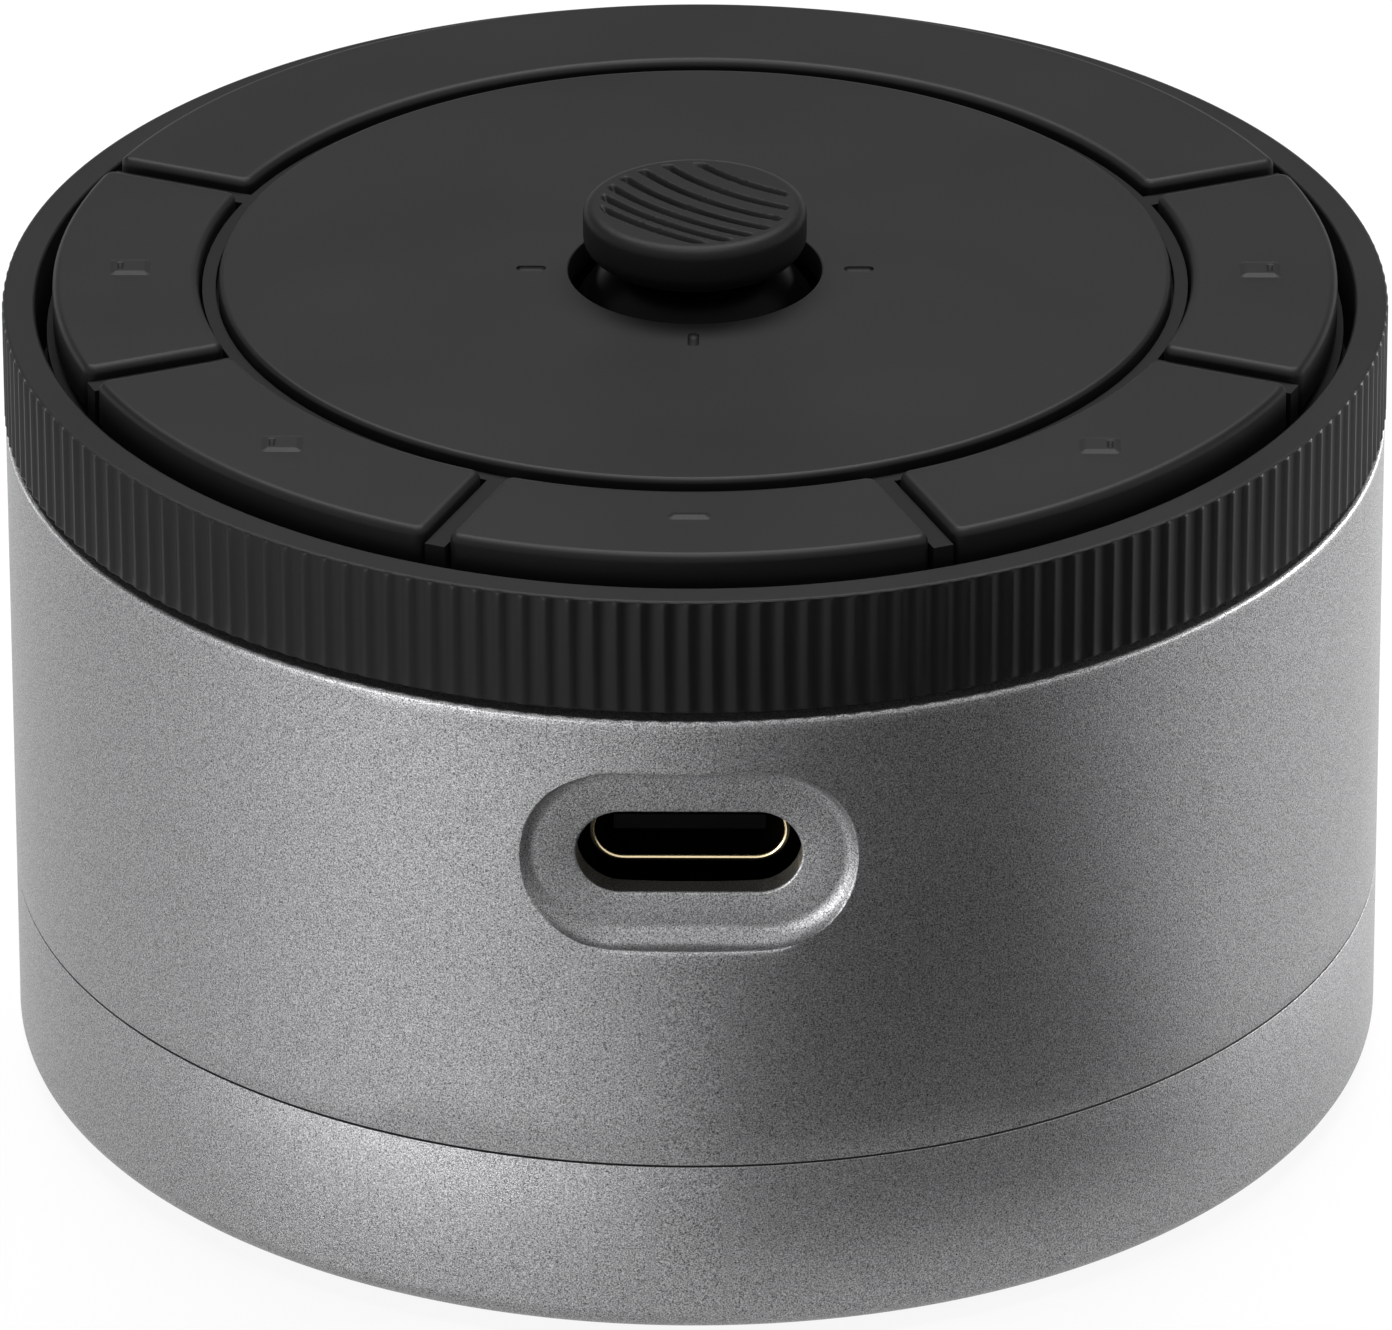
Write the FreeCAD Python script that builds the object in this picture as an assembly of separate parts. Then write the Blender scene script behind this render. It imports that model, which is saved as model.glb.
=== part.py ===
"""Desktop volume controller: metal body, knurled dial, ring of keys and a thumb-stick.

Millimetres, +Z up, origin at the centre of the resting face, the USB-C inlet towards -Y.
Each sub-part is written to parts/NODE.step. Angles are in degrees from +X, so the front is -90.
"""
import FreeCAD, Part
import math
import os

V = FreeCAD.Vector
UP = V(0, 0, 1)

# ---- driving dimensions -----------------------------------------------------------------------
# body shells
body_radius = 31.25
foot_inset = 3.25
foot_thickness = 1.1
foot_chamfer = 0.3
foot_clearance = 0.2
foot_drop = 0.5
base_height = 8.5
base_floor = 2.0
base_corner = 1.2
seam_gap = 0.1
seam_chamfer = 0.1
sleeve_height = 22.0
sleeve_wall = 2.25
sleeve_corner = 0.2
spigot_wall = 0.8
spigot_height = 2.5
spigot_clearance = 0.1
ballast_height = 3.5
ballast_bore = 2.0
ballast_margin = 0.5

# USB-C inlet and its recess
port_drop = 7.0
port_recess_width = 15.2
port_recess_height = 8.7
port_recess_depth = 1.2
port_recess_corner = 0.85
port_slot_width = 9.9
port_slot_height = 3.94
usb_shell_width = 8.94
usb_shell_height = 3.16
usb_shell_wall = 0.3
usb_shell_length = 7.35
usb_mouth_setback = 3.36
usb_tongue_width = 6.69
usb_tongue_thickness = 0.7
usb_tongue_setback = 0.8
usb_block_length = 1.6
usb_contact_pitch = 0.5
usb_contact_width = 0.25
usb_contact_length = 3.4
usb_contact_thickness = 0.06
usb_contact_setback = 0.5
usb_contacts_per_side = 12

# dial
dial_proud = 0.05
dial_lift = 0.42
dial_height = 5.45
dial_wall = 1.5
dial_corner = 0.3
knurl_count = 188
knurl_depth = 0.18
dial_flange_height = 0.83
washer_thickness = 0.4
washer_width = 1.3
running_clearance = 0.1
dial_foot_height = 0.15
knurl_overlap = 0.1
hub_setback = 0.7
hub_relief = 0.4
hub_flange_reach = 0.3
hub_wall = 1.7
hub_flange_height = 0.7
hub_skirt = 3.75
encoder_width = 0.8
encoder_height = 1.5
encoder_shoulder = 0.2
encoder_seat = 0.15
sensor_depth = 1.0
sensor_width = 4.0
sensor_height = 1.8
sensor_setback = 1.3
sensor_angle = 20
detent_thickness = 1.0
detent_teeth = 36
detent_depth = 0.5
detent_profile = ((0.0, 0.0), (0.3, 0.0), (0.5, detent_depth), (0.8, detent_depth))
detent_gap = 0.4
detent_magnet_radius = 0.9
detent_magnet_height = 1.0

# keys, channel and disc
key_rise = 1.13
key_gap = 0.8
key_width = 6.6
key_wall = 1.2
key_corner = 0.5
key_edge = 0.4
key_travel = 0.45
groove_width = 1.1
groove_depth = 0.6
rib_clearance = 0.08
channel_clearance = 0.15
channel_width = 0.9
mark_height = 0.2
mark_inset = 3.1
mark_width = 1.9
mark_depth = 1.7
mark_corner = 0.3
dimple_radius = 1.6
dimple_depth = 0.12
bar_inset = 2.7
bar_width = 2.0
bar_depth = 0.76
bar_corner = 0.36
hook_width = 2.0
hook_inset = 0.15
hook_setback = 0.4
hook_clearance = 0.15
hook_drop = 0.6
barb_overlap = 0.2
hook_angle_inset = 7.0
nub_radius = 1.3
nub_gap = 0.2
long_key = 90
long_key_spread = 2 / 9
disc_thickness = 1.2
disc_edge = 0.25
disc_hole_edge = 0.15
disc_boss_radius = 1.7
disc_boss_share = 0.7
dash_radius = 7.4
dash_length = 1.4
dash_width = 0.7
dash_depth = 0.3

# deck, boards and chassis
deck_thickness = 0.7
deck_margin = 0.5
deck_stand = 0.2
disc_seat_height = 1.3
disc_seat_width = 1.35
collar_clearance = 0.85
collar_width = 1.2
board_thickness = 0.8
main_board_thickness = 1.6
main_board_inset = 0.4
board_tab_margin = 1.0
board_tab_setback = 3.2
key_board_margin = 1.4
post_inset = 3.4
post_radius = 2.0
chip_width = 7.0
chip_height = 0.85
neck_wall = 2.3
chassis_floor = 1.2
chassis_clearance = 0.4
clip_thickness = 0.3
clip_groove_depth = 0.3
clip_reach = 0.8
clip_opening = 8.0
switch_width = 3.5
switch_height = 1.0
switch_clearance = 0.15
window_clearance = 0.2
plunger_radius = 0.8
ribbon_width = 8.0
ribbon_thickness = 0.2
ribbon_inset = 6.9
ribbon_slot_margin = 1.0
connector_margin = 0.5
connector_depth = 1.8
connector_height = 1.2

# screws
tie_screw_radius = 1.0
tie_head_radius = 1.9
tie_head_height = 1.4
boss_radius = 3.0
lug_length = 6.0
lug_width = 5.5
lug_height = 14.0
small_screw_radius = 0.75
small_head_radius = 1.4
small_head_height = 0.6
screw_clearance = 0.1
head_clearance = 0.2
tie_screw_bite = 3.0
board_screw_bite = 2.4
deck_screw_bite = 2.2
disc_screw_bite = 0.2
drill_allowance = 0.2
socket_share = 0.5
socket_depth_share = 0.6

# thumb-stick
pivot_drop = 4.5
shield_radius = 6.15
shield_wall = 0.6
shield_rim_angle = 68.0
stick_hole_radius = 5.74
cap_radius = 5.05
cap_rise = 0.9
cap_height = 2.37
cap_top_corner = 0.4
cap_bottom_corner = 0.9
ridge_centre = (9.07, 11.16)
ridge_first = 11.33
ridge_step = 1.36
ridge_tightening = 0.05
ridge_count = 7
ridge_width = 0.22
ridge_depth = 0.16
ridge_reach = 4.15
shaft_radius = 1.4
pivot_pin_radius = 0.4
ring_bore = 2.5
ring_outer = 3.5
ring_height = 1.4
press_travel = 0.2
carrier_half = 5.0
carrier_plate = 1.0
carrier_drop = 3.8
carrier_bore = 2.6
post_width = 2.4
post_gap = 0.3
post_setback = 0.2
return_spring_height = 1.5
module_wall = 0.6
module_clearance = 0.2
module_rise = 0.4
module_tab_width = 3.0
module_tab_thickness = 0.3
module_tab_overlap = 0.7
stick_board_margin = 0.7
hall_width = 3.0
hall_height = 0.5
push_switch_width = 1.8
push_switch_inset = 0.9
magnet_height = 1.0
shaft_setback = 0.8
shoulder_step = 0.5
shoulder_height = 0.6
pin_setback = 0.1
trunnion_overlap = 0.3
spring_wire = 0.25
spring_radius = 3.0

# ---- levels and radii worked out from them ------------------------------------------------------
touch = 0.05
fit = 0.02
overlap = 0.1
beyond = 1.0

base_bottom = foot_drop
base_top = base_bottom + base_height
sleeve_bottom = base_top + seam_gap
sleeve_top = sleeve_bottom + sleeve_height
dial_bottom = sleeve_top + dial_lift
dial_top = dial_bottom + dial_height
top_face = dial_top + key_rise
groove_floor = top_face - groove_depth

sleeve_bore = body_radius - sleeve_wall
spigot_radius = sleeve_bore - spigot_clearance
spigot_bore = spigot_radius - spigot_wall
spigot_top = base_top + spigot_height
foot_radius = body_radius - foot_inset
foot_seat = foot_thickness
base_floor_top = foot_seat + base_floor

dial_radius = body_radius + dial_proud
dial_bore = dial_radius - dial_wall
hub_radius = sleeve_bore - hub_setback
hub_bore = hub_radius - hub_wall
neck_radius = hub_bore - running_clearance
neck_bore = neck_radius - neck_wall
tie_circle = neck_bore + neck_wall / 2

hub_flange_bottom = dial_bottom + dial_flange_height
hub_flange_top = hub_flange_bottom + hub_flange_height
hub_bottom = hub_flange_bottom - hub_skirt
detent_bottom = hub_bottom - detent_thickness
chassis_top = detent_bottom - detent_gap
chassis_bottom = chassis_top - chassis_floor
clip_bottom = hub_flange_top + touch
clip_top = clip_bottom + clip_thickness

key_outer = dial_bore - key_gap
key_inner = key_outer - key_width
disc_radius = key_inner - channel_width
mark_circle = key_inner + mark_inset
bar_circle = key_inner + bar_inset
disc_bottom = top_face - disc_thickness
deck_top = disc_bottom - disc_seat_height
deck_bottom = deck_top - deck_thickness
key_board_top = deck_bottom - deck_stand
key_board_bottom = key_board_top - board_thickness
key_bottom = deck_top + key_travel + touch
key_ceiling = top_face - key_wall
deck_radius = dial_bore - deck_margin
switch_circle = tie_circle + touch
switch_top = key_board_top + switch_height
nub_bottom = switch_top + nub_gap + key_travel + touch
wall_outer = key_inner - channel_clearance
wall_inner = disc_radius + channel_clearance

port_height = sleeve_top - port_drop
main_board_top = port_height - usb_shell_height / 2
main_board_bottom = main_board_top - main_board_thickness
usb_mouth = -body_radius + usb_mouth_setback
usb_back = usb_mouth + usb_shell_length
recess_floor = -body_radius + port_recess_depth

lug_inner = sleeve_bore - lug_length
lug_top = chassis_bottom
lug_bottom = lug_top - lug_height
main_board_radius = lug_inner - main_board_inset
post_circle = main_board_radius - post_inset
ribbon_y = main_board_radius - ribbon_inset

pivot = top_face - pivot_drop
cap_bottom = top_face + cap_rise
cap_top = cap_bottom + cap_height
shield_rim = pivot + shield_radius * math.cos(math.radians(shield_rim_angle))
stick_board_top = chassis_top + board_thickness
carrier_bottom = pivot - carrier_drop
carrier_top = carrier_bottom + carrier_plate
module_half = carrier_half + module_clearance + module_wall
module_top = pivot + module_rise
shaft_bottom = carrier_bottom + press_travel
shaft_top = cap_top - shaft_setback

tie_angles = (45, 135, 225, 315)
deck_screw_angles = (75, 105, 238, 302)
magnet_angles = (90, 210, 330)
disc_boss_circle = disc_radius * disc_boss_share
divider_angles = (22.5, 157.5, 202.5, 247.5, 292.5, 337.5)
keys = {
    "key_right": (-22.5, 22.5),
    "key_arc": (22.5, 157.5),
    "key_left": (157.5, 202.5),
    "key_front_left": (202.5, 247.5),
    "key_front": (247.5, 292.5),
    "key_front_right": (292.5, 337.5),
}


# ---- helpers ------------------------------------------------------------------------------------
def save(name, shape):
    """Write one sub-part; its node has the file's name."""
    shape.exportStep("parts/" + name + ".step")


def cylinder(radius, low, high, x=0.0, y=0.0):
    return Part.makeCylinder(radius, high - low, V(x, y, low))


def ring(inner, outer, low, high):
    return cylinder(outer, low, high).cut(cylinder(inner, low - beyond, high + beyond))


def block(x0, x1, y0, y1, z0, z1):
    return Part.makeBox(x1 - x0, y1 - y0, z1 - z0, V(x0, y0, z0))


def turned(outline):
    """Solid of revolution about Z from (radius, height) corners."""
    corners = [V(radius, 0, height) for radius, height in outline]
    face = Part.Face(Part.makePolygon(corners + corners[:1]))
    return face.revolve(V(0, 0, 0), UP, 360)


def turn(shape, angle):
    """Copy turned about Z."""
    copy = shape.copy()
    copy.rotate(V(0, 0, 0), UP, angle)
    return copy


def around(shape, angles):
    """Copies of a shape built on +X, one at each angle."""
    return [turn(shape, angle) for angle in angles]


def circles(shape, radius, height):
    """Edges that run round Z at one radius and height."""
    found = []
    for edge in shape.Edges:
        curve = edge.Curve
        if isinstance(curve, Part.Circle) and abs(curve.Radius - radius) < 1e-3:
            if abs(curve.Center.z - height) < 1e-3:
                found.append(edge)
    return found


def rounded(shape, radius, height, size):
    return shape.makeFillet(size, circles(shape, radius, height))


def chamfered(shape, radius, height, size):
    return shape.makeChamfer(size, circles(shape, radius, height))


def stadium(width, height, near, far, level):
    """Slot-shaped prism along Y, from y = near to y = far, centred on x = 0."""
    end = height / 2
    straight = width / 2 - end
    bar = block(-straight, straight, near, far, level - end, level + end)
    ends = []
    for x in (-straight, straight):
        ends.append(Part.makeCylinder(end, far - near, V(x, near, level), V(0, 1, 0)))
    return bar.fuse(ends).removeSplitter()


def key_face(inner, outer, start, end, margin, level):
    """Ring sector whose two ends run parallel to the dividers, `margin` from each."""
    corners = []
    for radius, angle, side in ((inner, start, 1), (outer, start, 1), (outer, end, -1), (inner, end, -1)):
        azimuth = math.radians(angle) + side * math.asin(margin / radius)
        corners.append((radius, azimuth))

    def point(radius, azimuth):
        return V(radius * math.cos(azimuth), radius * math.sin(azimuth), level)

    a, b, c, d = [point(*corner) for corner in corners]
    middle = math.radians((start + end) / 2)
    outside = Part.Arc(b, point(outer, middle), c).toShape()
    inside = Part.Arc(d, point(inner, middle), a).toShape()
    wire = Part.Wire([Part.LineSegment(a, b).toShape(), outside, Part.LineSegment(c, d).toShape(), inside])
    return Part.Face(wire)


def coil(radius, wire, low, high, turns):
    """Open coil spring between two flat seats, its wire drawn with six sides."""
    pitch = (high - low - 2 * wire) / turns
    helix = Part.makeHelix(pitch, pitch * turns, radius)
    rim = [V(radius + wire * math.cos(math.radians(a)), 0, wire * math.sin(math.radians(a)))
           for a in range(30, 391, 60)]
    start = Part.makePolygon(rim)
    spring = Part.Wire(helix.Edges).makePipeShell([start], True, True)
    spring.translate(V(0, 0, low + wire))
    return spring


def tapped(screw_radius, low, high, circle):
    """Drill for a screw on +X; the thread is drawn as a plain shank."""
    return cylinder(screw_radius + fit, low, high, circle)


def screw(shank, head, head_low, head_high, tip, circle):
    """Pan-head screw on +X with a hexagon socket in the outer face of its head."""
    downwards = tip < head_low
    body = cylinder(head, head_low, head_high, circle)
    body = body.fuse(cylinder(shank, min(tip, head_low), max(tip, head_low), circle))
    across = head * socket_share
    corners = [math.radians(60 * i) for i in range(7)]
    points = [V(circle + across * math.cos(a), across * math.sin(a), 0) for a in corners]
    depth = (head_high - head_low) * socket_depth_share
    socket = Part.Face(Part.makePolygon(points)).extrude(V(0, 0, depth))
    socket.translate(V(0, 0, head_high - depth if downwards else head_low))
    return body.cut(socket)


# ---- body shells --------------------------------------------------------------------------------
def foot_pad():
    pad = cylinder(foot_radius, 0, foot_thickness)
    return chamfered(pad, foot_radius, 0, foot_chamfer)


def base_cup():
    pocket = foot_radius + foot_clearance
    cup = turned([(0, foot_seat), (pocket, foot_seat), (pocket, base_bottom), (body_radius, base_bottom),
                  (body_radius, base_top), (spigot_radius, base_top), (spigot_radius, spigot_top),
                  (spigot_bore, spigot_top), (spigot_bore, base_floor_top), (0, base_floor_top)])
    cup = rounded(cup, body_radius, base_bottom, base_corner)
    cup = chamfered(cup, body_radius, base_top, seam_chamfer)
    boss = cylinder(boss_radius, (foot_seat + base_floor_top) / 2, lug_bottom - touch, tie_circle)
    cup = cup.fuse(around(boss, tie_angles))
    drill = cylinder(tie_screw_radius + screw_clearance, 0, lug_bottom + beyond, tie_circle)
    sink_top = foot_seat + tie_head_height + screw_clearance
    sink = cylinder(tie_head_radius + head_clearance, 0, sink_top, tie_circle)
    return cup.cut(around(drill.fuse(sink), tie_angles))


def ballast():
    radius = tie_circle - boss_radius - ballast_margin
    return ring(ballast_bore, radius, base_floor_top, base_floor_top + ballast_height)


def tie_screws():
    head_low = foot_seat + screw_clearance
    one = screw(tie_screw_radius, tie_head_radius, head_low, head_low + tie_head_height,
                key_board_bottom - tie_screw_bite - drill_allowance, tie_circle)
    return Part.makeCompound(around(one, tie_angles))


def sleeve():
    tube = ring(sleeve_bore, body_radius, sleeve_bottom, sleeve_top)
    tube = chamfered(tube, body_radius, sleeve_bottom, seam_chamfer)
    tube = chamfered(tube, body_radius, sleeve_top, sleeve_corner)
    rooted = sleeve_bore + sleeve_wall / 4
    lug = block(lug_inner, rooted, -lug_width / 2, lug_width / 2, lug_bottom, lug_top)
    tube = tube.fuse(around(lug, tie_angles))
    outside = -body_radius - beyond
    recess = stadium(port_recess_width, port_recess_height, outside, recess_floor, port_height)
    floor_edges = [edge for edge in recess.Edges
                   if all(abs(vertex.Y - recess_floor) < 1e-4 for vertex in edge.Vertexes)]
    recess = recess.makeFillet(port_recess_corner, floor_edges)
    slot = stadium(port_slot_width, port_slot_height, outside, usb_mouth, port_height)
    tube = tube.cut([recess, slot])
    drill = cylinder(tie_screw_radius + screw_clearance, lug_bottom - beyond, lug_top + beyond, tie_circle)
    return tube.cut(around(drill, tie_angles))


# ---- USB-C inlet and main board -------------------------------------------------------------------
def usb_shell():
    outer = stadium(usb_shell_width, usb_shell_height, usb_mouth, usb_back, port_height)
    inner = stadium(usb_shell_width - 2 * usb_shell_wall, usb_shell_height - 2 * usb_shell_wall,
                    usb_mouth - beyond, usb_back - usb_shell_wall, port_height)
    return outer.cut(inner)


def usb_tongue():
    clear = usb_shell_wall + fit
    back = usb_back - clear
    base = stadium(usb_shell_width - 2 * clear, usb_shell_height - 2 * clear,
                   back - usb_block_length, back, port_height)
    half = usb_tongue_thickness / 2
    blade = block(-usb_tongue_width / 2, usb_tongue_width / 2, usb_mouth + usb_tongue_setback,
                  back - usb_block_length / 2, port_height - half, port_height + half)
    return base.fuse(blade).removeSplitter()


def usb_contacts():
    start = usb_mouth + usb_tongue_setback + usb_contact_setback
    first = -(usb_contacts_per_side - 1) * usb_contact_pitch / 2
    strips = []
    for i in range(usb_contacts_per_side):
        x = first + i * usb_contact_pitch
        for side in (-1, 1):
            face = port_height + side * usb_tongue_thickness / 2
            far = face + side * usb_contact_thickness
            strips.append(block(x - usb_contact_width / 2, x + usb_contact_width / 2,
                                start, start + usb_contact_length, min(face, far), max(face, far)))
    return Part.makeCompound(strips)


def main_board():
    board = cylinder(main_board_radius, main_board_bottom, main_board_top)
    half = usb_shell_width / 2 + board_tab_margin
    tab = block(-half, half, usb_mouth + board_tab_setback, 0, main_board_bottom, main_board_top)
    board = board.fuse(tab).removeSplitter()
    drill = cylinder(small_screw_radius + screw_clearance, main_board_bottom - beyond,
                     main_board_top + beyond, post_circle)
    return board.cut(around(drill, tie_angles))


def board_screws():
    one = screw(small_screw_radius, small_head_radius, main_board_bottom - small_head_height,
                main_board_bottom, main_board_top + board_screw_bite, post_circle)
    return Part.makeCompound(around(one, tie_angles))


def controller_chip():
    half = chip_width / 2
    return block(-half, half, -half, half, main_board_top, main_board_top + chip_height)


def ribbon_cable():
    """Flat flexible circuit from the main board up to the key board, a connector at each end."""
    side = ribbon_width / 2
    thick = ribbon_thickness / 2
    strip = block(-side, side, ribbon_y - thick, ribbon_y + thick, main_board_top, key_board_bottom)
    wide = side + connector_margin
    deep = connector_depth / 2
    lower = block(-wide, wide, ribbon_y - deep, ribbon_y + deep,
                  main_board_top, main_board_top + connector_height)
    upper = block(-wide, wide, ribbon_y - deep, ribbon_y + deep,
                  key_board_bottom - connector_height, key_board_bottom)
    return strip.fuse([lower, upper])


# ---- chassis and what the dial turns on -----------------------------------------------------------
def chassis():
    edge = sleeve_bore - chassis_clearance
    groove = neck_radius - clip_groove_depth
    body = turned([(0, chassis_bottom), (edge, chassis_bottom), (edge, chassis_top),
                   (neck_radius, chassis_top), (neck_radius, clip_bottom - fit),
                   (groove, clip_bottom - fit), (groove, clip_top + fit),
                   (neck_radius, clip_top + fit), (neck_radius, key_board_bottom),
                   (neck_bore, key_board_bottom), (neck_bore, chassis_top), (0, chassis_top)])
    post = cylinder(post_radius, main_board_top, (chassis_bottom + chassis_top) / 2, post_circle)
    body = body.fuse(around(post, tie_angles))
    board_hole = tapped(small_screw_radius, main_board_top - beyond,
                        main_board_top + board_screw_bite + drill_allowance, post_circle)
    tie_hole = tapped(tie_screw_radius, chassis_bottom - beyond,
                      key_board_bottom - tie_screw_bite, tie_circle)
    deck_hole = tapped(small_screw_radius, key_board_bottom - deck_screw_bite - drill_allowance,
                       key_board_bottom + beyond, tie_circle)
    body = body.cut(around(board_hole, tie_angles))
    body = body.cut(around(tie_hole, tie_angles))
    body = body.cut(around(deck_hole, deck_screw_angles))
    body = body.cut(around(magnet(fit), magnet_angles))
    wide = ribbon_width / 2 + connector_margin + ribbon_slot_margin
    deep = connector_depth / 2 + drill_allowance
    return body.cut(block(-wide, wide, ribbon_y - deep, ribbon_y + deep,
                          chassis_bottom - beyond, chassis_top + beyond))


def magnet(clearance):
    circle = (hub_bore + hub_radius) / 2
    return cylinder(detent_magnet_radius + clearance, chassis_top - detent_magnet_height - clearance,
                    chassis_top + clearance, circle)


def detent_magnets():
    return Part.makeCompound(around(magnet(0), magnet_angles))


def glide_washer():
    inner = sleeve_bore + running_clearance
    return ring(inner, inner + washer_width, sleeve_top, sleeve_top + washer_thickness)


def dial_clip():
    inner = neck_radius - clip_groove_depth + touch
    clip = ring(inner, hub_bore + encoder_width + clip_reach, clip_bottom, clip_top)
    half = clip_opening / 2
    return clip.cut(block(0, dial_radius, -half, half, clip_bottom - beyond, clip_top + beyond))


# ---- dial -----------------------------------------------------------------------------------------
def dial_ring():
    heel_top = dial_bottom + dial_foot_height
    points = []
    for i in range(knurl_count):
        for share, radius in ((0.0, dial_radius), (0.5, dial_radius - knurl_depth)):
            azimuth = 2 * math.pi * (i + share) / knurl_count
            points.append(V(radius * math.cos(azimuth), radius * math.sin(azimuth), heel_top))
    band = Part.Face(Part.makePolygon(points + points[:1]))
    band_top = dial_top - dial_corner - knurl_overlap
    body = band.extrude(V(0, 0, band_top - heel_top))
    plain = dial_radius - knurl_depth / 2
    lip = cylinder(plain, band_top, dial_top)
    lip = chamfered(lip, plain, dial_top, dial_corner)
    heel = cylinder(dial_radius - knurl_depth, dial_bottom, heel_top)
    body = body.fuse([lip, heel])
    body = body.cut(cylinder(dial_bore, hub_flange_bottom, dial_top + beyond))
    return body.cut(cylinder(hub_radius + hub_relief, dial_bottom - beyond, hub_flange_bottom + beyond))


def dial_hub():
    ledge = hub_flange_top - encoder_height - encoder_seat
    rim = dial_bore - hub_flange_reach
    shoulder = hub_bore + encoder_width + encoder_shoulder
    return turned([(hub_bore, hub_bottom), (hub_radius, hub_bottom), (hub_radius, hub_flange_bottom),
                   (rim, hub_flange_bottom), (rim, hub_flange_top),
                   (shoulder, hub_flange_top), (shoulder, ledge), (hub_bore, ledge)])


def encoder_ring():
    ledge = hub_flange_top - encoder_height - encoder_seat
    inner = hub_bore + running_clearance
    return ring(inner, inner + encoder_width, ledge, ledge + encoder_height)


def detent_ring():
    outer = hub_radius - running_clearance
    points = []
    for i in range(detent_teeth):
        for share, sunk in detent_profile:
            radius = outer - sunk
            azimuth = 2 * math.pi * (i + share) / detent_teeth
            points.append(V(radius * math.cos(azimuth), radius * math.sin(azimuth), detent_bottom))
    toothed = Part.Face(Part.makePolygon(points + points[:1])).extrude(V(0, 0, detent_thickness))
    return toothed.cut(cylinder(hub_bore + touch, detent_bottom - beyond, hub_bottom + beyond))


def encoder_sensor():
    radius = neck_bore - sensor_setback
    half = sensor_width / 2
    one = block(radius, radius + sensor_depth, -half, half,
                key_board_bottom - sensor_height, key_board_bottom)
    return turn(one, sensor_angle)


# ---- key board, deck and disc ---------------------------------------------------------------------
def switch_angles(start, end):
    """One switch under a short key, two under the long one."""
    middle = (start + end) / 2
    if end - start < long_key:
        return (middle,)
    aside = (end - start) * long_key_spread
    return (middle - aside, middle + aside)


def hook_angles(start, end):
    """Snap hooks stand near the two ends of a key, and at the middle of the long one."""
    first, last = start + hook_angle_inset, end - hook_angle_inset
    if end - start < long_key:
        return (first, last)
    return (first, (start + end) / 2, last)


def all_switch_angles():
    return [angle for span in keys.values() for angle in switch_angles(*span)]


def key_board():
    low, high = key_board_bottom - beyond, key_board_top + beyond
    board = ring(carrier_half * 2, key_outer - key_board_margin, key_board_bottom, key_board_top)
    screw_hole = cylinder(small_screw_radius + screw_clearance, low, high, tie_circle)
    head_hole = cylinder(small_head_radius + head_clearance, low, high, disc_boss_circle)
    board = board.cut(around(screw_hole, deck_screw_angles))
    return board.cut(around(head_hole, tie_angles))


def switch_cans():
    half = switch_width / 2
    can = block(switch_circle - half, switch_circle + half, -half, half, key_board_top, switch_top)
    can = can.cut(cylinder(plunger_radius + switch_clearance, key_board_top + touch, switch_top + beyond,
                           switch_circle))
    return Part.makeCompound(around(can, all_switch_angles()))


def deck():
    low, high = deck_bottom - beyond, deck_top + beyond
    seat = wall_inner - disc_seat_width
    collar_bore = shield_radius + collar_clearance
    collar = collar_bore + collar_width
    plate = turned([(collar_bore, deck_bottom), (deck_radius, deck_bottom), (deck_radius, deck_top),
                    (wall_outer, deck_top), (wall_outer, groove_floor), (wall_inner, groove_floor),
                    (wall_inner, disc_bottom), (seat, disc_bottom), (seat, deck_top),
                    (collar, deck_top), (collar, disc_bottom), (collar_bore, disc_bottom)])
    half = groove_width / 2 - rib_clearance
    rib = block(wall_outer - overlap, key_outer, -half, half, deck_top - overlap, groove_floor)
    plate = plate.fuse(around(rib, divider_angles))
    opening = switch_width / 2 + window_clearance
    window = block(switch_circle - opening, switch_circle + opening, -opening, opening, low, high)
    plate = plate.cut(around(window, all_switch_angles()))
    slot = hook_leg(hook_clearance, low, high)
    slots = [turn(slot, angle) for span in keys.values() for angle in hook_angles(*span)]
    plate = plate.cut(slots)
    screw_hole = cylinder(small_screw_radius + screw_clearance, low, high, tie_circle)
    plate = plate.cut(around(screw_hole, deck_screw_angles))
    disc_hole = cylinder(small_screw_radius + screw_clearance, low, high, disc_boss_circle)
    return plate.cut(around(disc_hole, tie_angles))


def deck_screws():
    one = screw(small_screw_radius, small_head_radius, deck_top, deck_top + small_head_height,
                key_board_bottom - deck_screw_bite, tie_circle)
    return Part.makeCompound(around(one, deck_screw_angles))


def centre_disc():
    plate = ring(stick_hole_radius, disc_radius, disc_bottom, top_face)
    plate = chamfered(plate, disc_radius, top_face, disc_edge)
    plate = chamfered(plate, stick_hole_radius, top_face, disc_hole_edge)
    boss = cylinder(disc_boss_radius, deck_top, disc_bottom + overlap, disc_boss_circle)
    plate = plate.fuse(around(boss, tie_angles))
    hole = tapped(small_screw_radius, deck_top - beyond,
                  disc_bottom + disc_screw_bite + overlap, disc_boss_circle)
    plate = plate.cut(around(hole, tie_angles))
    dash = block(dash_radius - dash_length / 2, dash_radius + dash_length / 2,
                 -dash_width / 2, dash_width / 2, top_face - dash_depth, top_face + beyond)
    return plate.cut(around(dash, (0, 90, 180, 270)))


def disc_screws():
    one = screw(small_screw_radius, small_head_radius, deck_bottom - small_head_height, deck_bottom,
                disc_bottom + disc_screw_bite, disc_boss_circle)
    return Part.makeCompound(around(one, tie_angles))


# ---- keys -----------------------------------------------------------------------------------------
def hook_leg(clearance, low, high):
    """Leg of a snap hook on +X, or with a clearance the slot that it passes through."""
    inner = key_outer - key_wall + hook_inset - clearance
    outer = key_outer - hook_setback + clearance
    half = hook_width / 2 + clearance
    return block(inner, outer, -half, half, low, high)


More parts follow.
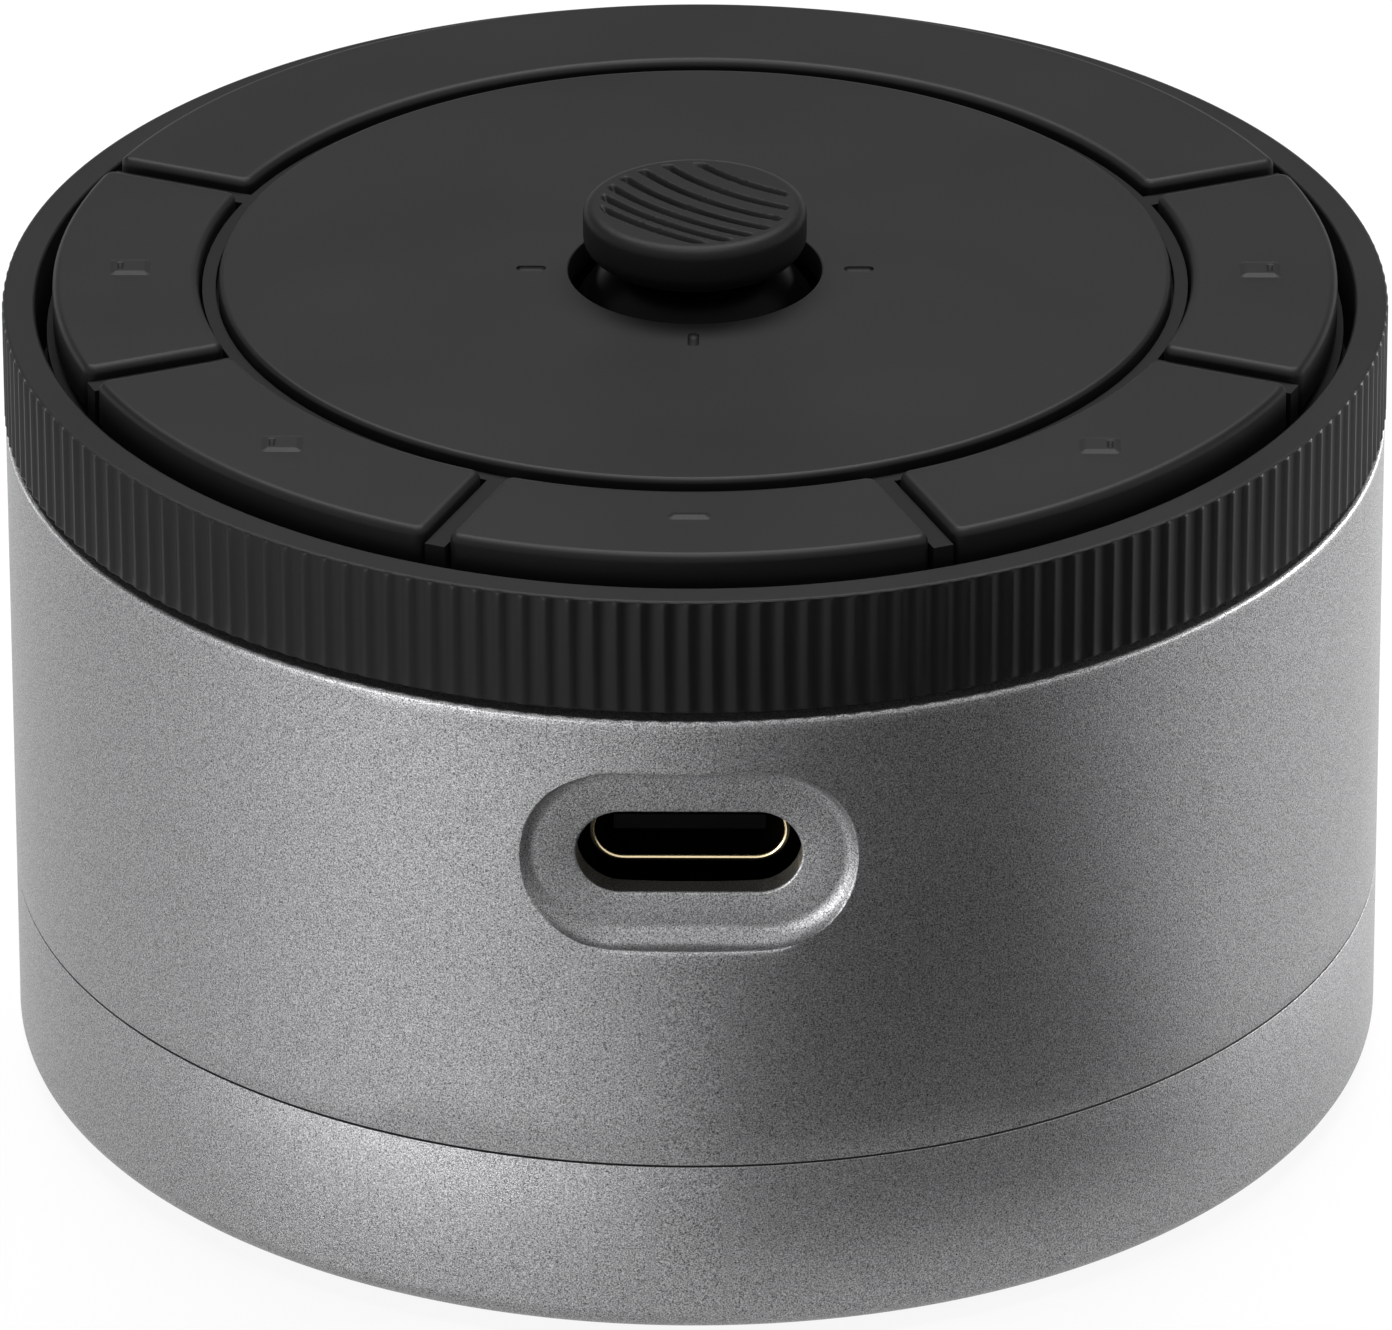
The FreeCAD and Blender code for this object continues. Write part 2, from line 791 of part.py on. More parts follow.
def key_mark(name, angle):
    """Raised mark of a key: a bar at the front, elsewhere a soft square with a dimple.

    The sides of every mark run along X and Y, whichever way its key lies.
    """
    wide, deep, corner, circle = mark_width / 2, mark_depth / 2, mark_corner, mark_circle
    if name == "key_front":
        wide, deep, corner, circle = bar_width / 2, bar_depth / 2, bar_corner, bar_circle
    raised = top_face + mark_height
    pad = block(-wide, wide, -deep, deep, top_face - overlap, raised)
    upright = [edge for edge in pad.Edges if abs(edge.Vertexes[0].Z - edge.Vertexes[1].Z) > touch]
    pad = pad.makeFillet(corner, upright)
    if name != "key_front":
        pad = pad.cut(Part.makeSphere(dimple_radius, V(0, 0, raised + dimple_radius - dimple_depth)))
    azimuth = math.radians(angle)
    pad.translate(V(circle * math.cos(azimuth), circle * math.sin(azimuth), 0))
    return pad


def key(name):
    start, end = keys[name]
    margin = groove_width / 2
    sector = key_face(key_inner, key_outer, start, end, margin, key_bottom)
    cap = sector.extrude(V(0, 0, top_face - key_bottom))
    upright = [edge for edge in cap.Edges if abs(edge.Vertexes[0].Z - edge.Vertexes[-1].Z) > touch]
    cap = cap.makeFillet(key_corner, upright)
    rim = [edge for edge in cap.Edges if all(abs(vertex.Z - top_face) < 1e-4 for vertex in edge.Vertexes)]
    cap = cap.makeChamfer(key_edge, rim)
    hollow = key_face(key_inner + key_wall, key_outer - key_wall, start, end, margin + key_wall,
                      key_bottom - beyond)
    cap = cap.cut(hollow.extrude(V(0, 0, key_ceiling - key_bottom + beyond)))
    nub = cylinder(nub_radius, nub_bottom, key_ceiling + overlap, switch_circle)
    additions = around(nub, switch_angles(start, end))
    hook_low = deck_bottom - hook_drop
    leg = hook_leg(0, hook_low, key_bottom + overlap)
    barb = block(key_outer - hook_setback - barb_overlap, key_outer,
                 -hook_width / 2, hook_width / 2, hook_low, deck_bottom - touch)
    for angle in hook_angles(start, end):
        additions.append(turn(leg.fuse(barb), angle))
    if name != "key_arc":
        additions.append(key_mark(name, (start + end) / 2))
    return cap.fuse(additions).removeSplitter()


def plunger(name):
    one = cylinder(plunger_radius, key_board_top + 2 * touch + key_travel, nub_bottom, switch_circle)
    return Part.makeCompound(around(one, switch_angles(*keys[name])))


# ---- thumb-stick ----------------------------------------------------------------------------------
def stick_board():
    half = module_half + stick_board_margin
    return block(-half, half, -half, half, chassis_top, stick_board_top)


def hall_sensor():
    half = hall_width / 2
    return block(-half, half, -half, half, stick_board_top, stick_board_top + hall_height)


def stick_housing():
    inner = module_half - module_wall
    can = block(-module_half, module_half, -module_half, module_half, stick_board_top, module_top)
    can = can.cut(block(-inner, inner, -inner, inner, stick_board_top - beyond, module_top + beyond))
    half = module_tab_width / 2
    tab = block(-half, half, carrier_half - module_tab_overlap, inner + overlap,
                carrier_top + touch, carrier_top + touch + module_tab_thickness)
    return can.fuse([tab, turn(tab, 180)])


def press_spring():
    return coil(spring_radius, spring_wire, stick_board_top, carrier_bottom - press_travel - touch, 3)


def push_switch():
    outer = carrier_half - push_switch_inset + push_switch_width / 2
    inner = outer - push_switch_width
    high = carrier_bottom - press_travel - 2 * touch
    return block(inner, outer, inner, outer, stick_board_top, high)


def stick_carrier():
    plate = block(-carrier_half, carrier_half, -carrier_half, carrier_half, carrier_bottom, carrier_top)
    half = post_width / 2
    post = block(ring_outer + post_gap, carrier_half - post_setback, -half, half,
                 carrier_top, pivot + ring_height / 2)
    plate = plate.fuse([post, turn(post, 180)])
    plate = plate.cut(cylinder(carrier_bore, carrier_bottom - beyond, carrier_top + beyond))
    bearing = Part.makeCylinder(pivot_pin_radius + running_clearance, 4 * carrier_half,
                                V(-2 * carrier_half, 0, pivot), V(1, 0, 0))
    return plate.cut(bearing)


def return_spring():
    return coil(spring_radius - overlap, spring_wire, carrier_top, carrier_top + return_spring_height, 2)


def gimbal_ring():
    band = ring(ring_bore, ring_outer, pivot - ring_height / 2, pivot + ring_height / 2)
    root = ring_outer - trunnion_overlap
    trunnion = Part.makeCylinder(pivot_pin_radius, carrier_half - trunnion_overlap - root,
                                 V(root, 0, pivot), V(1, 0, 0))
    band = band.fuse([trunnion, turn(trunnion, 180)])
    bearing = Part.makeCylinder(pivot_pin_radius + running_clearance, 4 * ring_outer,
                                V(0, -2 * ring_outer, pivot), V(0, 1, 0))
    return band.cut(bearing)


def stick_shaft():
    shaft = cylinder(shaft_radius, shaft_bottom, shaft_top)
    inside = shield_radius - shield_wall
    shoulder = shaft_radius + shoulder_step
    shoulder_top = pivot + math.sqrt(inside ** 2 - shoulder ** 2) - touch
    shaft = shaft.fuse(cylinder(shoulder, shoulder_top - shoulder_height, shoulder_top))
    bore = Part.makeCylinder(pivot_pin_radius + fit, 4 * shaft_radius,
                             V(0, -2 * shaft_radius, pivot), V(0, 1, 0))
    return shaft.cut(bore)


def stick_pin():
    reach = ring_outer - pin_setback
    return Part.makeCylinder(pivot_pin_radius, 2 * reach, V(0, -reach, pivot), V(0, 1, 0))


def stick_magnet():
    return cylinder(shaft_radius, shaft_bottom - magnet_height, shaft_bottom)


def dust_shield():
    dome = Part.makeSphere(shield_radius, V(0, 0, pivot))
    dome = dome.cut(Part.makeSphere(shield_radius - shield_wall, V(0, 0, pivot)))
    dome = dome.cut(cylinder(shield_radius + beyond, pivot - shield_radius - beyond, shield_rim))
    return dome.cut(cylinder(shaft_radius + fit, pivot, pivot + shield_radius + beyond))


def stick_cap():
    cap = cylinder(cap_radius, cap_bottom, cap_top)
    cap = rounded(cap, cap_radius, cap_top, cap_top_corner)
    cap = rounded(cap, cap_radius, cap_bottom, cap_bottom_corner)
    cap = cap.cut(Part.makeSphere(shield_radius + touch, V(0, 0, pivot)))
    cap = cap.cut(cylinder(shaft_radius + fit, cap_bottom - beyond, shaft_top + touch))
    reach = cylinder(ridge_reach, cap_top - ridge_depth, cap_top + beyond)
    for k in range(ridge_count):
        radius = ridge_first + ridge_step * k - ridge_tightening * k * k
        groove = ring(radius - ridge_width / 2, radius + ridge_width / 2,
                      cap_top - ridge_depth, cap_top + beyond)
        groove.translate(V(ridge_centre[0], ridge_centre[1], 0))
        cap = cap.cut(groove.common(reach))
    return cap


# ---- build ----------------------------------------------------------------------------------------
def main():
    os.makedirs("parts", exist_ok=True)
    makers = (foot_pad, base_cup, ballast, tie_screws, sleeve, usb_shell, usb_tongue, usb_contacts,
              main_board, board_screws, controller_chip, chassis, detent_magnets, glide_washer, dial_clip,
              dial_ring, dial_hub, encoder_ring, detent_ring, encoder_sensor, key_board, switch_cans,
              ribbon_cable, deck, deck_screws, centre_disc, disc_screws, stick_board, hall_sensor,
              stick_housing, press_spring, push_switch, stick_carrier, return_spring, gimbal_ring,
              stick_shaft, stick_pin, stick_magnet, dust_shield, stick_cap)
    for maker in makers:
        save(maker.__name__, maker())
    for name in keys:
        save(name, key(name))
        save(name.replace("key", "plunger", 1), plunger(name))


main()
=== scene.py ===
import math

import bmesh
import bpy
from mathutils import Matrix, Vector


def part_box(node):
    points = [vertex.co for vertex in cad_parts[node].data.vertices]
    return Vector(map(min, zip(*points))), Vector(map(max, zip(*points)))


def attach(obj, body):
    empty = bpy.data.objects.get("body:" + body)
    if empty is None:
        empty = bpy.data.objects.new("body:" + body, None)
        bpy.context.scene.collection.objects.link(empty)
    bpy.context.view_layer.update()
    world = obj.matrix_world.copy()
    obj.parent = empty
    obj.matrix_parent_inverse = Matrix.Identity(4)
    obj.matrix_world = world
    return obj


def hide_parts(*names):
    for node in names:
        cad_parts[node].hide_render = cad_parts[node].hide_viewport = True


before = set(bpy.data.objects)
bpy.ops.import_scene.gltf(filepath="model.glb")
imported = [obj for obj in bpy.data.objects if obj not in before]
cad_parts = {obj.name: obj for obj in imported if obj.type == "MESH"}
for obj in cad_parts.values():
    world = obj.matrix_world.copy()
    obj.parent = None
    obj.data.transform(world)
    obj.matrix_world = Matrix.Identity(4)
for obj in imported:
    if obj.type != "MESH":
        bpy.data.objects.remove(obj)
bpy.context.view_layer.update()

# ---- Studio -----------------------------------------------------------------------------------
# A white sweep under soft light, a hair below the foot at z = 0. Low softboxes round the knob light
# its metal side and dial, and two overhead its black top. Matt black cards, out of the picture,
# darken what the middle of the side and the flat tops mirror.
MM = 0.001
BODY_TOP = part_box("sleeve")[1][2]
CAMERA_BACK = 618.3 * MM
CAMERA_ABOVE_BODY = 302.2 * MM
CAMERA_TURN = math.radians(0.62)
CAMERA_PITCH = math.radians(27.019)
CAMERA_ROLL = math.radians(-0.15)
CAMERA_LENS = 392.35
SENSOR = 36.0
NEAR_CLIP = 0.01
FAR_CLIP = 20.0
FLOOR_HALF = 3.0
FLOOR_DROP = 0.01 * MM
WHITE = (1, 1, 1, 1)
ROOM_LIGHT = 0.02
SWEEP_GLOW = 0.9
SWEEP_WHITE = (0.82, 0.82, 0.82, 1)
SWEEP_ROUGHNESS = 0.9
FLOCK_BLACK = (0.004, 0.004, 0.004, 1)
FLAG_HEIGHT = 0.4 * MM
CARD_STEPS = 16

scene = bpy.context.scene
scene.view_settings.view_transform = "Standard"

camera_data = bpy.data.cameras.new("camera")
camera_data.lens = CAMERA_LENS
camera_data.sensor_width = SENSOR
camera_data.clip_start = NEAR_CLIP
camera_data.clip_end = FAR_CLIP
camera = bpy.data.objects.new("camera", camera_data)
stand = Matrix.Translation((0, -CAMERA_BACK, BODY_TOP + CAMERA_ABOVE_BODY))
tilt = Matrix.Rotation(math.pi / 2 - CAMERA_PITCH, 4, "X") @ Matrix.Rotation(CAMERA_ROLL, 4, "Z")
aim = Matrix.Rotation(CAMERA_TURN, 4, "Z") @ stand @ tilt
camera.location = aim.translation
camera.rotation_euler = aim.to_euler()
scene.collection.objects.link(camera)
scene.camera = camera


def link(tree, start, end):
    tree.links.new(start, end)


def maths(tree, operation, *values):
    """Math node whose inputs are numbers or sockets; gives back its result socket."""
    made = tree.nodes.new("ShaderNodeMath")
    made.operation = operation
    for socket, value in zip(made.inputs, values):
        if isinstance(value, (int, float)):
            socket.default_value = value
        else:
            link(tree, value, socket)
    return made.outputs["Value"]


def seen_plainly(tree):
    """1 where the camera, a reflection or a clear piece looks straight at the backdrop."""
    path = tree.nodes.new("ShaderNodeLightPath").outputs
    either = maths(tree, "ADD", path["Is Camera Ray"], path["Is Glossy Ray"])
    any_of = maths(tree, "ADD", either, path["Is Transmission Ray"])
    any_of.node.use_clamp = True
    return any_of


world = bpy.data.worlds.new("studio")
world.use_nodes = True
scene.world = world
tree = world.node_tree
backdrop = tree.nodes["Background"]
backdrop.inputs["Color"].default_value = WHITE
backdrop.inputs["Strength"].default_value = 1.0
room = tree.nodes.new("ShaderNodeBackground")
room.inputs["Color"].default_value = WHITE
room.inputs["Strength"].default_value = ROOM_LIGHT
pick = tree.nodes.new("ShaderNodeMixShader")
link(tree, seen_plainly(tree), pick.inputs["Fac"])
link(tree, room.outputs["Background"], pick.inputs[1])
link(tree, backdrop.outputs["Background"], pick.inputs[2])
link(tree, pick.outputs["Shader"], tree.nodes["World Output"].inputs["Surface"])


def around_knob(bearing, distance, height):
    """Place in the studio; bearings are in degrees from the front, to the right."""
    turn = math.radians(bearing)
    return Vector((distance * math.sin(turn), -distance * math.cos(turn), height))


def softbox(name, bearing, distance, height, size, power, lights=None):
    """Rectangular lamp that faces the middle of the knob; it may light one group of pieces only."""
    data = bpy.data.lights.new(name, "AREA")
    data.shape = "RECTANGLE"
    data.size, data.size_y = size
    data.energy = power
    lamp = bpy.data.objects.new(name, data)
    lamp.location = around_knob(bearing, distance, height)
    lamp.rotation_euler = (Vector((0, 0, BODY_TOP)) - lamp.location).to_track_quat("-Z", "Y").to_euler()
    lamp.light_linking.receiver_collection = lights
    scene.collection.objects.link(lamp)


body_side = bpy.data.collections.new("body_side")
softbox("softbox_front_left", -43, 0.75, 0.11, (0.50, 0.18), 5.1, body_side)
softbox("softbox_back_left", -130, 0.75, 0.11, (0.28, 0.18), 1.3, body_side)
softbox("softbox_back_right", 117, 0.75, 0.11, (0.50, 0.18), 8.1, body_side)
softbox("softbox_overhead", 180, 0.45, 0.80, (0.90, 0.30), 6.5)
softbox("softbox_top", 0, 0.10, 0.90, (0.50, 0.20), 2.9)

flock = bpy.data.materials.new("black_flock")
flock.use_nodes = True
flock.node_tree.nodes["Principled BSDF"].inputs["Base Color"].default_value = FLOCK_BLACK
flock.node_tree.nodes["Principled BSDF"].inputs["Specular IOR Level"].default_value = 0.0


def black_card(name, start, end, near, far):
    """Card out of the picture, swept from one bearing to another; its edges are (distance, height)."""
    mesh = bpy.data.meshes.new(name)
    bm = bmesh.new()
    edge = [bm.verts.new(around_knob(start, *place)) for place in (near, far)]
    bmesh.ops.spin(bm, geom=edge + [bm.edges.new(edge)], cent=(0, 0, 0), axis=(0, 0, 1),
                   angle=math.radians(end - start), steps=CARD_STEPS)
    bm.to_mesh(mesh)
    bm.free()
    mesh.materials.append(flock)
    card = bpy.data.objects.new(name, mesh)
    scene.collection.objects.link(card)
    card.visible_camera = False
    card.visible_diffuse = False
    card.visible_shadow = False


black_card("floor_flag", 0, 60, (0.04, FLAG_HEIGHT), (0.60, FLAG_HEIGHT))
black_card("back_card", 110, 250, (1.00, 0.20), (1.00, 1.00))

sweep_mesh = bpy.data.meshes.new("floor")
bm = bmesh.new()
bmesh.ops.create_grid(bm, x_segments=1, y_segments=1, size=FLOOR_HALF,
                      matrix=Matrix.Translation((0, 0, -FLOOR_DROP)))
bm.to_mesh(sweep_mesh)
bm.free()
sweep = bpy.data.objects.new("floor", sweep_mesh)
scene.collection.objects.link(sweep)
paper = bpy.data.materials.new("white_sweep")
paper.use_nodes = True
tree = paper.node_tree
matt = tree.nodes["Principled BSDF"]
matt.inputs["Base Color"].default_value = SWEEP_WHITE
matt.inputs["Roughness"].default_value = SWEEP_ROUGHNESS
glow = tree.nodes.new("ShaderNodeEmission")
glow.inputs["Strength"].default_value = 1.0
veil = tree.nodes.new("ShaderNodeMixShader")
link(tree, maths(tree, "MULTIPLY", seen_plainly(tree), SWEEP_GLOW), veil.inputs["Fac"])
link(tree, matt.outputs["BSDF"], veil.inputs[1])
link(tree, glow.outputs["Emission"], veil.inputs[2])
link(tree, veil.outputs["Shader"], tree.nodes["Material Output"].inputs["Surface"])
sweep_mesh.materials.append(paper)


# ---- Foot pad ---------------------------------------------------------------------------------
# Rubber disc that the knob stands on, pressed into a pocket under the base cup. It is moulded
# matt, with the dust and faint scuffs that rubber picks up.
GRAIN_DETAIL = 2.0
GRAIN_ROUGHNESS = 0.7
MOTTLE_SCALE = 130.0
MOTTLE_DETAIL = 4.0
TOOL_MARK_SCALE = 700.0
TOOL_MARK_WANDER = 0.6


def grain_group():
    """Skin of a piece: fine grain over a slow mottle, and concentric tool marks about Z."""
    group = bpy.data.node_groups.new("skin_grain", "ShaderNodeTree")
    for name in ("Scale", "Contrast", "Mottle", "Rings"):
        group.interface.new_socket(name, in_out="INPUT", socket_type="NodeSocketFloat")
    for name in ("Shade", "Height", "Drift"):
        group.interface.new_socket(name, in_out="OUTPUT", socket_type="NodeSocketFloat")
    given = group.nodes.new("NodeGroupInput").outputs
    result = group.nodes.new("NodeGroupOutput").inputs
    place = group.nodes.new("ShaderNodeTexCoord").outputs["Object"]
    fine = group.nodes.new("ShaderNodeTexNoise")
    fine.inputs["Detail"].default_value = GRAIN_DETAIL
    fine.inputs["Roughness"].default_value = GRAIN_ROUGHNESS
    link(group, place, fine.inputs["Vector"])
    link(group, given["Scale"], fine.inputs["Scale"])
    slow = group.nodes.new("ShaderNodeTexNoise")
    slow.inputs["Scale"].default_value = MOTTLE_SCALE
    slow.inputs["Detail"].default_value = MOTTLE_DETAIL
    link(group, place, slow.inputs["Vector"])
    marks = group.nodes.new("ShaderNodeTexWave")
    marks.wave_type = "RINGS"
    marks.rings_direction = "Z"
    marks.inputs["Scale"].default_value = TOOL_MARK_SCALE
    marks.inputs["Distortion"].default_value = TOOL_MARK_WANDER
    link(group, place, marks.inputs["Vector"])
    fine_swing = maths(group, "SUBTRACT", fine.outputs["Fac"], 0.5)
    slow_swing = maths(group, "SUBTRACT", slow.outputs["Fac"], 0.5)
    grained = maths(group, "MULTIPLY_ADD", fine_swing, given["Contrast"], 1.0)
    shade = maths(group, "MULTIPLY_ADD", slow_swing, given["Mottle"], grained)
    height = maths(group, "MULTIPLY_ADD", marks.outputs["Fac"], given["Rings"], fine.outputs["Fac"])
    link(group, maths(group, "MAXIMUM", shade, 0.0), result["Shade"])
    link(group, height, result["Height"])
    link(group, slow_swing, result["Drift"])
    return group


skin_grain = grain_group()


def finish(name, colour, roughness, metallic=0.0, specular=0.5, scale=6000.0, contrast=0.3, mottle=0.3,
           bump=0.004, rings=0.0, drift=0.12, tracks=None, coat=0.0):
    """Finish of one real material; `bump` is its grain's height in mm, `tracks` a second colour in lines."""
    made = bpy.data.materials.new(name)
    made.use_nodes = True
    tree = made.node_tree
    shader = tree.nodes["Principled BSDF"]
    shader.inputs["Metallic"].default_value = metallic
    shader.inputs["Specular IOR Level"].default_value = specular
    shader.inputs["Coat Weight"].default_value = coat
    skin = tree.nodes.new("ShaderNodeGroup")
    skin.node_tree = skin_grain
    for socket, value in (("Scale", scale), ("Contrast", contrast), ("Mottle", mottle), ("Rings", rings)):
        skin.inputs[socket].default_value = value
    tint = tree.nodes.new("ShaderNodeVectorMath")
    tint.operation = "SCALE"
    tint.inputs[0].default_value = colour
    link(tree, skin.outputs["Shade"], tint.inputs["Scale"])
    base = tint.outputs["Vector"]
    height = skin.outputs["Height"]
    if tracks:
        laid = tree.nodes.new("ShaderNodeGroup")
        laid.node_tree = copper_tracks
        mixed = tree.nodes.new("ShaderNodeMix")
        mixed.data_type = "RGBA"
        link(tree, laid.outputs["Mask"], mixed.inputs["Factor"])
        link(tree, base, mixed.inputs["A"])
        mixed.inputs["B"].default_value = (*tracks, 1)
        base = mixed.outputs["Result"]
        height = maths(tree, "ADD", height, laid.outputs["Mask"])
    link(tree, base, shader.inputs["Base Color"])
    rough = maths(tree, "MULTIPLY_ADD", skin.outputs["Drift"], drift, roughness)
    link(tree, rough, shader.inputs["Roughness"])
    relief = tree.nodes.new("ShaderNodeBump")
    relief.inputs["Strength"].default_value = 1.0
    relief.inputs["Distance"].default_value = bump * MM
    link(tree, height, relief.inputs["Height"])
    link(tree, relief.outputs["Normal"], shader.inputs["Normal"])
    return made


def dress(made, *names):
    """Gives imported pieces, whose shape stands as it is, their finish."""
    for name in names:
        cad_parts[name].material_slots[0].material = made


foot_rubber = finish("foot_rubber", (0.022, 0.022, 0.023), 0.86, specular=0.25, scale=2600.0, contrast=0.5,
                     mottle=0.9, bump=0.02)
dress(foot_rubber, "foot_pad")


# ---- Base cup ---------------------------------------------------------------------------------
# Lower shell of the body: a turned aluminium cup, bead-blasted and anodised dark, with a rounded
# bottom corner and a spigot that the sleeve slides over. Four bosses take the tie screws.
BODY_STEPS = 384
BODY_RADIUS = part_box("sleeve")[1][0] / MM
CUP_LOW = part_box("base_cup")[0][2] / MM
CUP_TOP = 9.0
CUP_CORNER = 1.2
FOOT_POCKET = 28.2
FOOT_SEAT = 1.1
CUP_FLOOR = 3.1
SPIGOT = 28.9
SPIGOT_BORE = 28.1
SPIGOT_TOP = 11.5
SEAM_EDGE = 0.03
TIE_ANGLES = (45, 135, 225, 315)
TIE_CIRCLE = 25.35
BOSS_RADIUS = 3.0
BOSS_TOP = 11.9
SUNK = 0.5
FULL_TURN = 2 * math.pi
WELD = 1e-6
LEVEL = 0.9999


def turned(outline, steps, angle=FULL_TURN):
    """Spins a closed outline of (radius, height) in mm about Z into a solid mesh."""
    bm = bmesh.new()
    points = [bm.verts.new((radius * MM, 0, height * MM)) for radius, height in outline]
    for start, end in zip(points, points[1:] + points[:1]):
        bm.edges.new((start, end))
    bmesh.ops.spin(bm, geom=bm.verts[:] + bm.edges[:], cent=(0, 0, 0), axis=(0, 0, 1), angle=angle,
                   steps=steps, use_merge=angle == FULL_TURN)
    bmesh.ops.remove_doubles(bm, verts=bm.verts, dist=WELD)
    bmesh.ops.recalc_face_normals(bm, faces=bm.faces)
    return bm


def arc(radius, height, size, start, end, segments=4):
    """Outline points of a rounded corner: centre (radius, height), from one angle to another."""
    return [(radius + size * math.cos(math.radians(start + (end - start) * i / segments)),
             height + size * math.sin(math.radians(start + (end - start) * i / segments)))
            for i in range(segments + 1)]


def piece(name, bm, look, body, replaced, sharp=35.0):
    """Finished piece riding on its body: level faces flat, the rest smooth up to `sharp` degrees."""
    bm.normal_update()
    for edge in bm.edges:
        if len(edge.link_faces) == 2:
            edge.smooth = edge.calc_face_angle(0) < math.radians(sharp)
    for face in bm.faces:
        face.smooth = abs(face.normal.z) < LEVEL
    mesh = bpy.data.meshes.new(name)
    bm.to_mesh(mesh)
    bm.free()
    mesh.materials.append(look)
    made = bpy.data.objects.new(name, mesh)
    scene.collection.objects.link(made)
    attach(made, body)
    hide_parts(*replaced)
    return made


def pillar(bm, radius, low, high, circle, angle, segments=32):
    """Adds an upright round post at a distance and bearing from the axis."""
    turn = Matrix.Rotation(math.radians(angle), 4, "Z")
    place = turn @ Matrix.Translation((circle * MM, 0, (low + high) / 2 * MM))
    bmesh.ops.create_cone(bm, cap_ends=True, segments=segments, radius1=radius * MM, radius2=radius * MM,
                          depth=(high - low) * MM, matrix=place)


blasted_metal = finish("blasted_metal", (0.228, 0.229, 0.232), 0.42, metallic=0.96, scale=15000.0,
                       contrast=4.5, mottle=0.05, bump=0.019, drift=0.04)
bm = turned([(0, FOOT_SEAT), (FOOT_POCKET, FOOT_SEAT), (FOOT_POCKET, CUP_LOW)]
            + arc(BODY_RADIUS - CUP_CORNER, CUP_LOW + CUP_CORNER, CUP_CORNER, -90, 0, 10)
            + arc(BODY_RADIUS - SEAM_EDGE, CUP_TOP - SEAM_EDGE, SEAM_EDGE, 0, 90, 3)
            + [(SPIGOT, CUP_TOP), (SPIGOT, SPIGOT_TOP), (SPIGOT_BORE, SPIGOT_TOP), (SPIGOT_BORE, CUP_FLOOR),
               (0, CUP_FLOOR)], BODY_STEPS)
for angle in TIE_ANGLES:
    pillar(bm, BOSS_RADIUS, CUP_FLOOR - SUNK, BOSS_TOP, TIE_CIRCLE, angle)
piece("base_shell", bm, blasted_metal, "housing", ["base_cup"])


# ---- Ballast and tie screws -------------------------------------------------------------------
# A turned steel disc lies in the cup as weight. Four long zinc-plated screws come up through the
# cup and the sleeve's lugs into the chassis and clamp the body together.
steel = finish("steel", (0.42, 0.41, 0.40), 0.34, metallic=1.0, scale=3000.0, contrast=0.2, mottle=0.25,
               bump=0.006, rings=1.5)
plated_steel = finish("plated_steel", (0.55, 0.54, 0.50), 0.30, metallic=1.0, scale=5000.0, contrast=0.15,
                      mottle=0.3, bump=0.002)
dress(steel, "ballast")
dress(plated_steel, "tie_screws", "board_screws", "deck_screws", "disc_screws")


# ---- Sleeve -----------------------------------------------------------------------------------
# Upper shell: an aluminium tube with the same blasted skin. A dished stadium recess with a coved
# floor is milled in its front, and a slot through the floor lets the plug reach the inlet.
SLEEVE_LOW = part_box("sleeve")[0][2] / MM
SLEEVE_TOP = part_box("sleeve")[1][2] / MM
SLEEVE_BORE = 29.0
PORT_LEVEL = SLEEVE_TOP - 7.0
RECESS = (15.2, 8.7)
RECESS_DEPTH = 1.2
RECESS_FLOOR = RECESS_DEPTH - BODY_RADIUS
COVE = 0.85
LIP = 0.16
SLOT = (9.9, 3.94)
SLOT_EDGE = 0.12
PANEL_ANGLE = math.radians(27.0)
ON_EDGE = 1e-4
RING_POINTS = 128
TUBE_STEPS = 320
LUG = (6.5, 5.5, 14.0)
LUG_INNER = 23.0
LUG_TOP = 26.0
PANEL_RINGS = 6
PANEL_CROWDING = 1.5
LIP_RINGS = 4
COVE_RINGS = 10
EDGE_TURNS = (0, 30, 60, 90)
INSIDE_RINGS = 5
TOP_EDGE = 0.2


def quarter_of(share):
    """Folds a share of the way round into one quarter, with the signs of its x and z."""
    quarter = int(share * 4) % 4
    along = share * 4 - int(share * 4)
    if quarter % 2:
        along = 1 - along
    return along, 1 if quarter in (0, 3) else -1, 1 if quarter < 2 else -1


def slot_outline(share, width, height):
    """Point (x, z) of a slot-shaped outline, from its right end round by the top."""
    along, right, up = quarter_of(share)
    radius = height / 2
    straight = width / 2 - radius
    bend = math.pi * radius / 2
    run = along * (bend + straight)
    if run < bend:
        return right * (straight + radius * math.cos(run / radius)), up * radius * math.sin(run / radius)
    return right * (straight + bend - run), up * radius


def panel_outline(share, half_width, below, above):
    """Point (x, z) of an upright rectangle, corners at the eighths of the way round."""
    along, right, up = quarter_of(share)
    tall = above if up > 0 else below
    if along < 0.5:
        return right * half_width, up * tall * along * 2
    return right * half_width * (1 - along) * 2, up * tall


def first_ring(bm, place, points):
    """Ring of points put where place(share) says, in mm; each point keeps its share."""
    share = bm.verts.layers.float.new("share")
    ring = bmesh.ops.create_circle(bm, segments=points, radius=1.0)["verts"]
    for index, vert in enumerate(ring):
        vert[share] = index / points
        vert.co = Vector(place(vert[share])) * MM
    return [edge for edge in bm.edges if edge.verts[0] in ring and edge.verts[1] in ring]


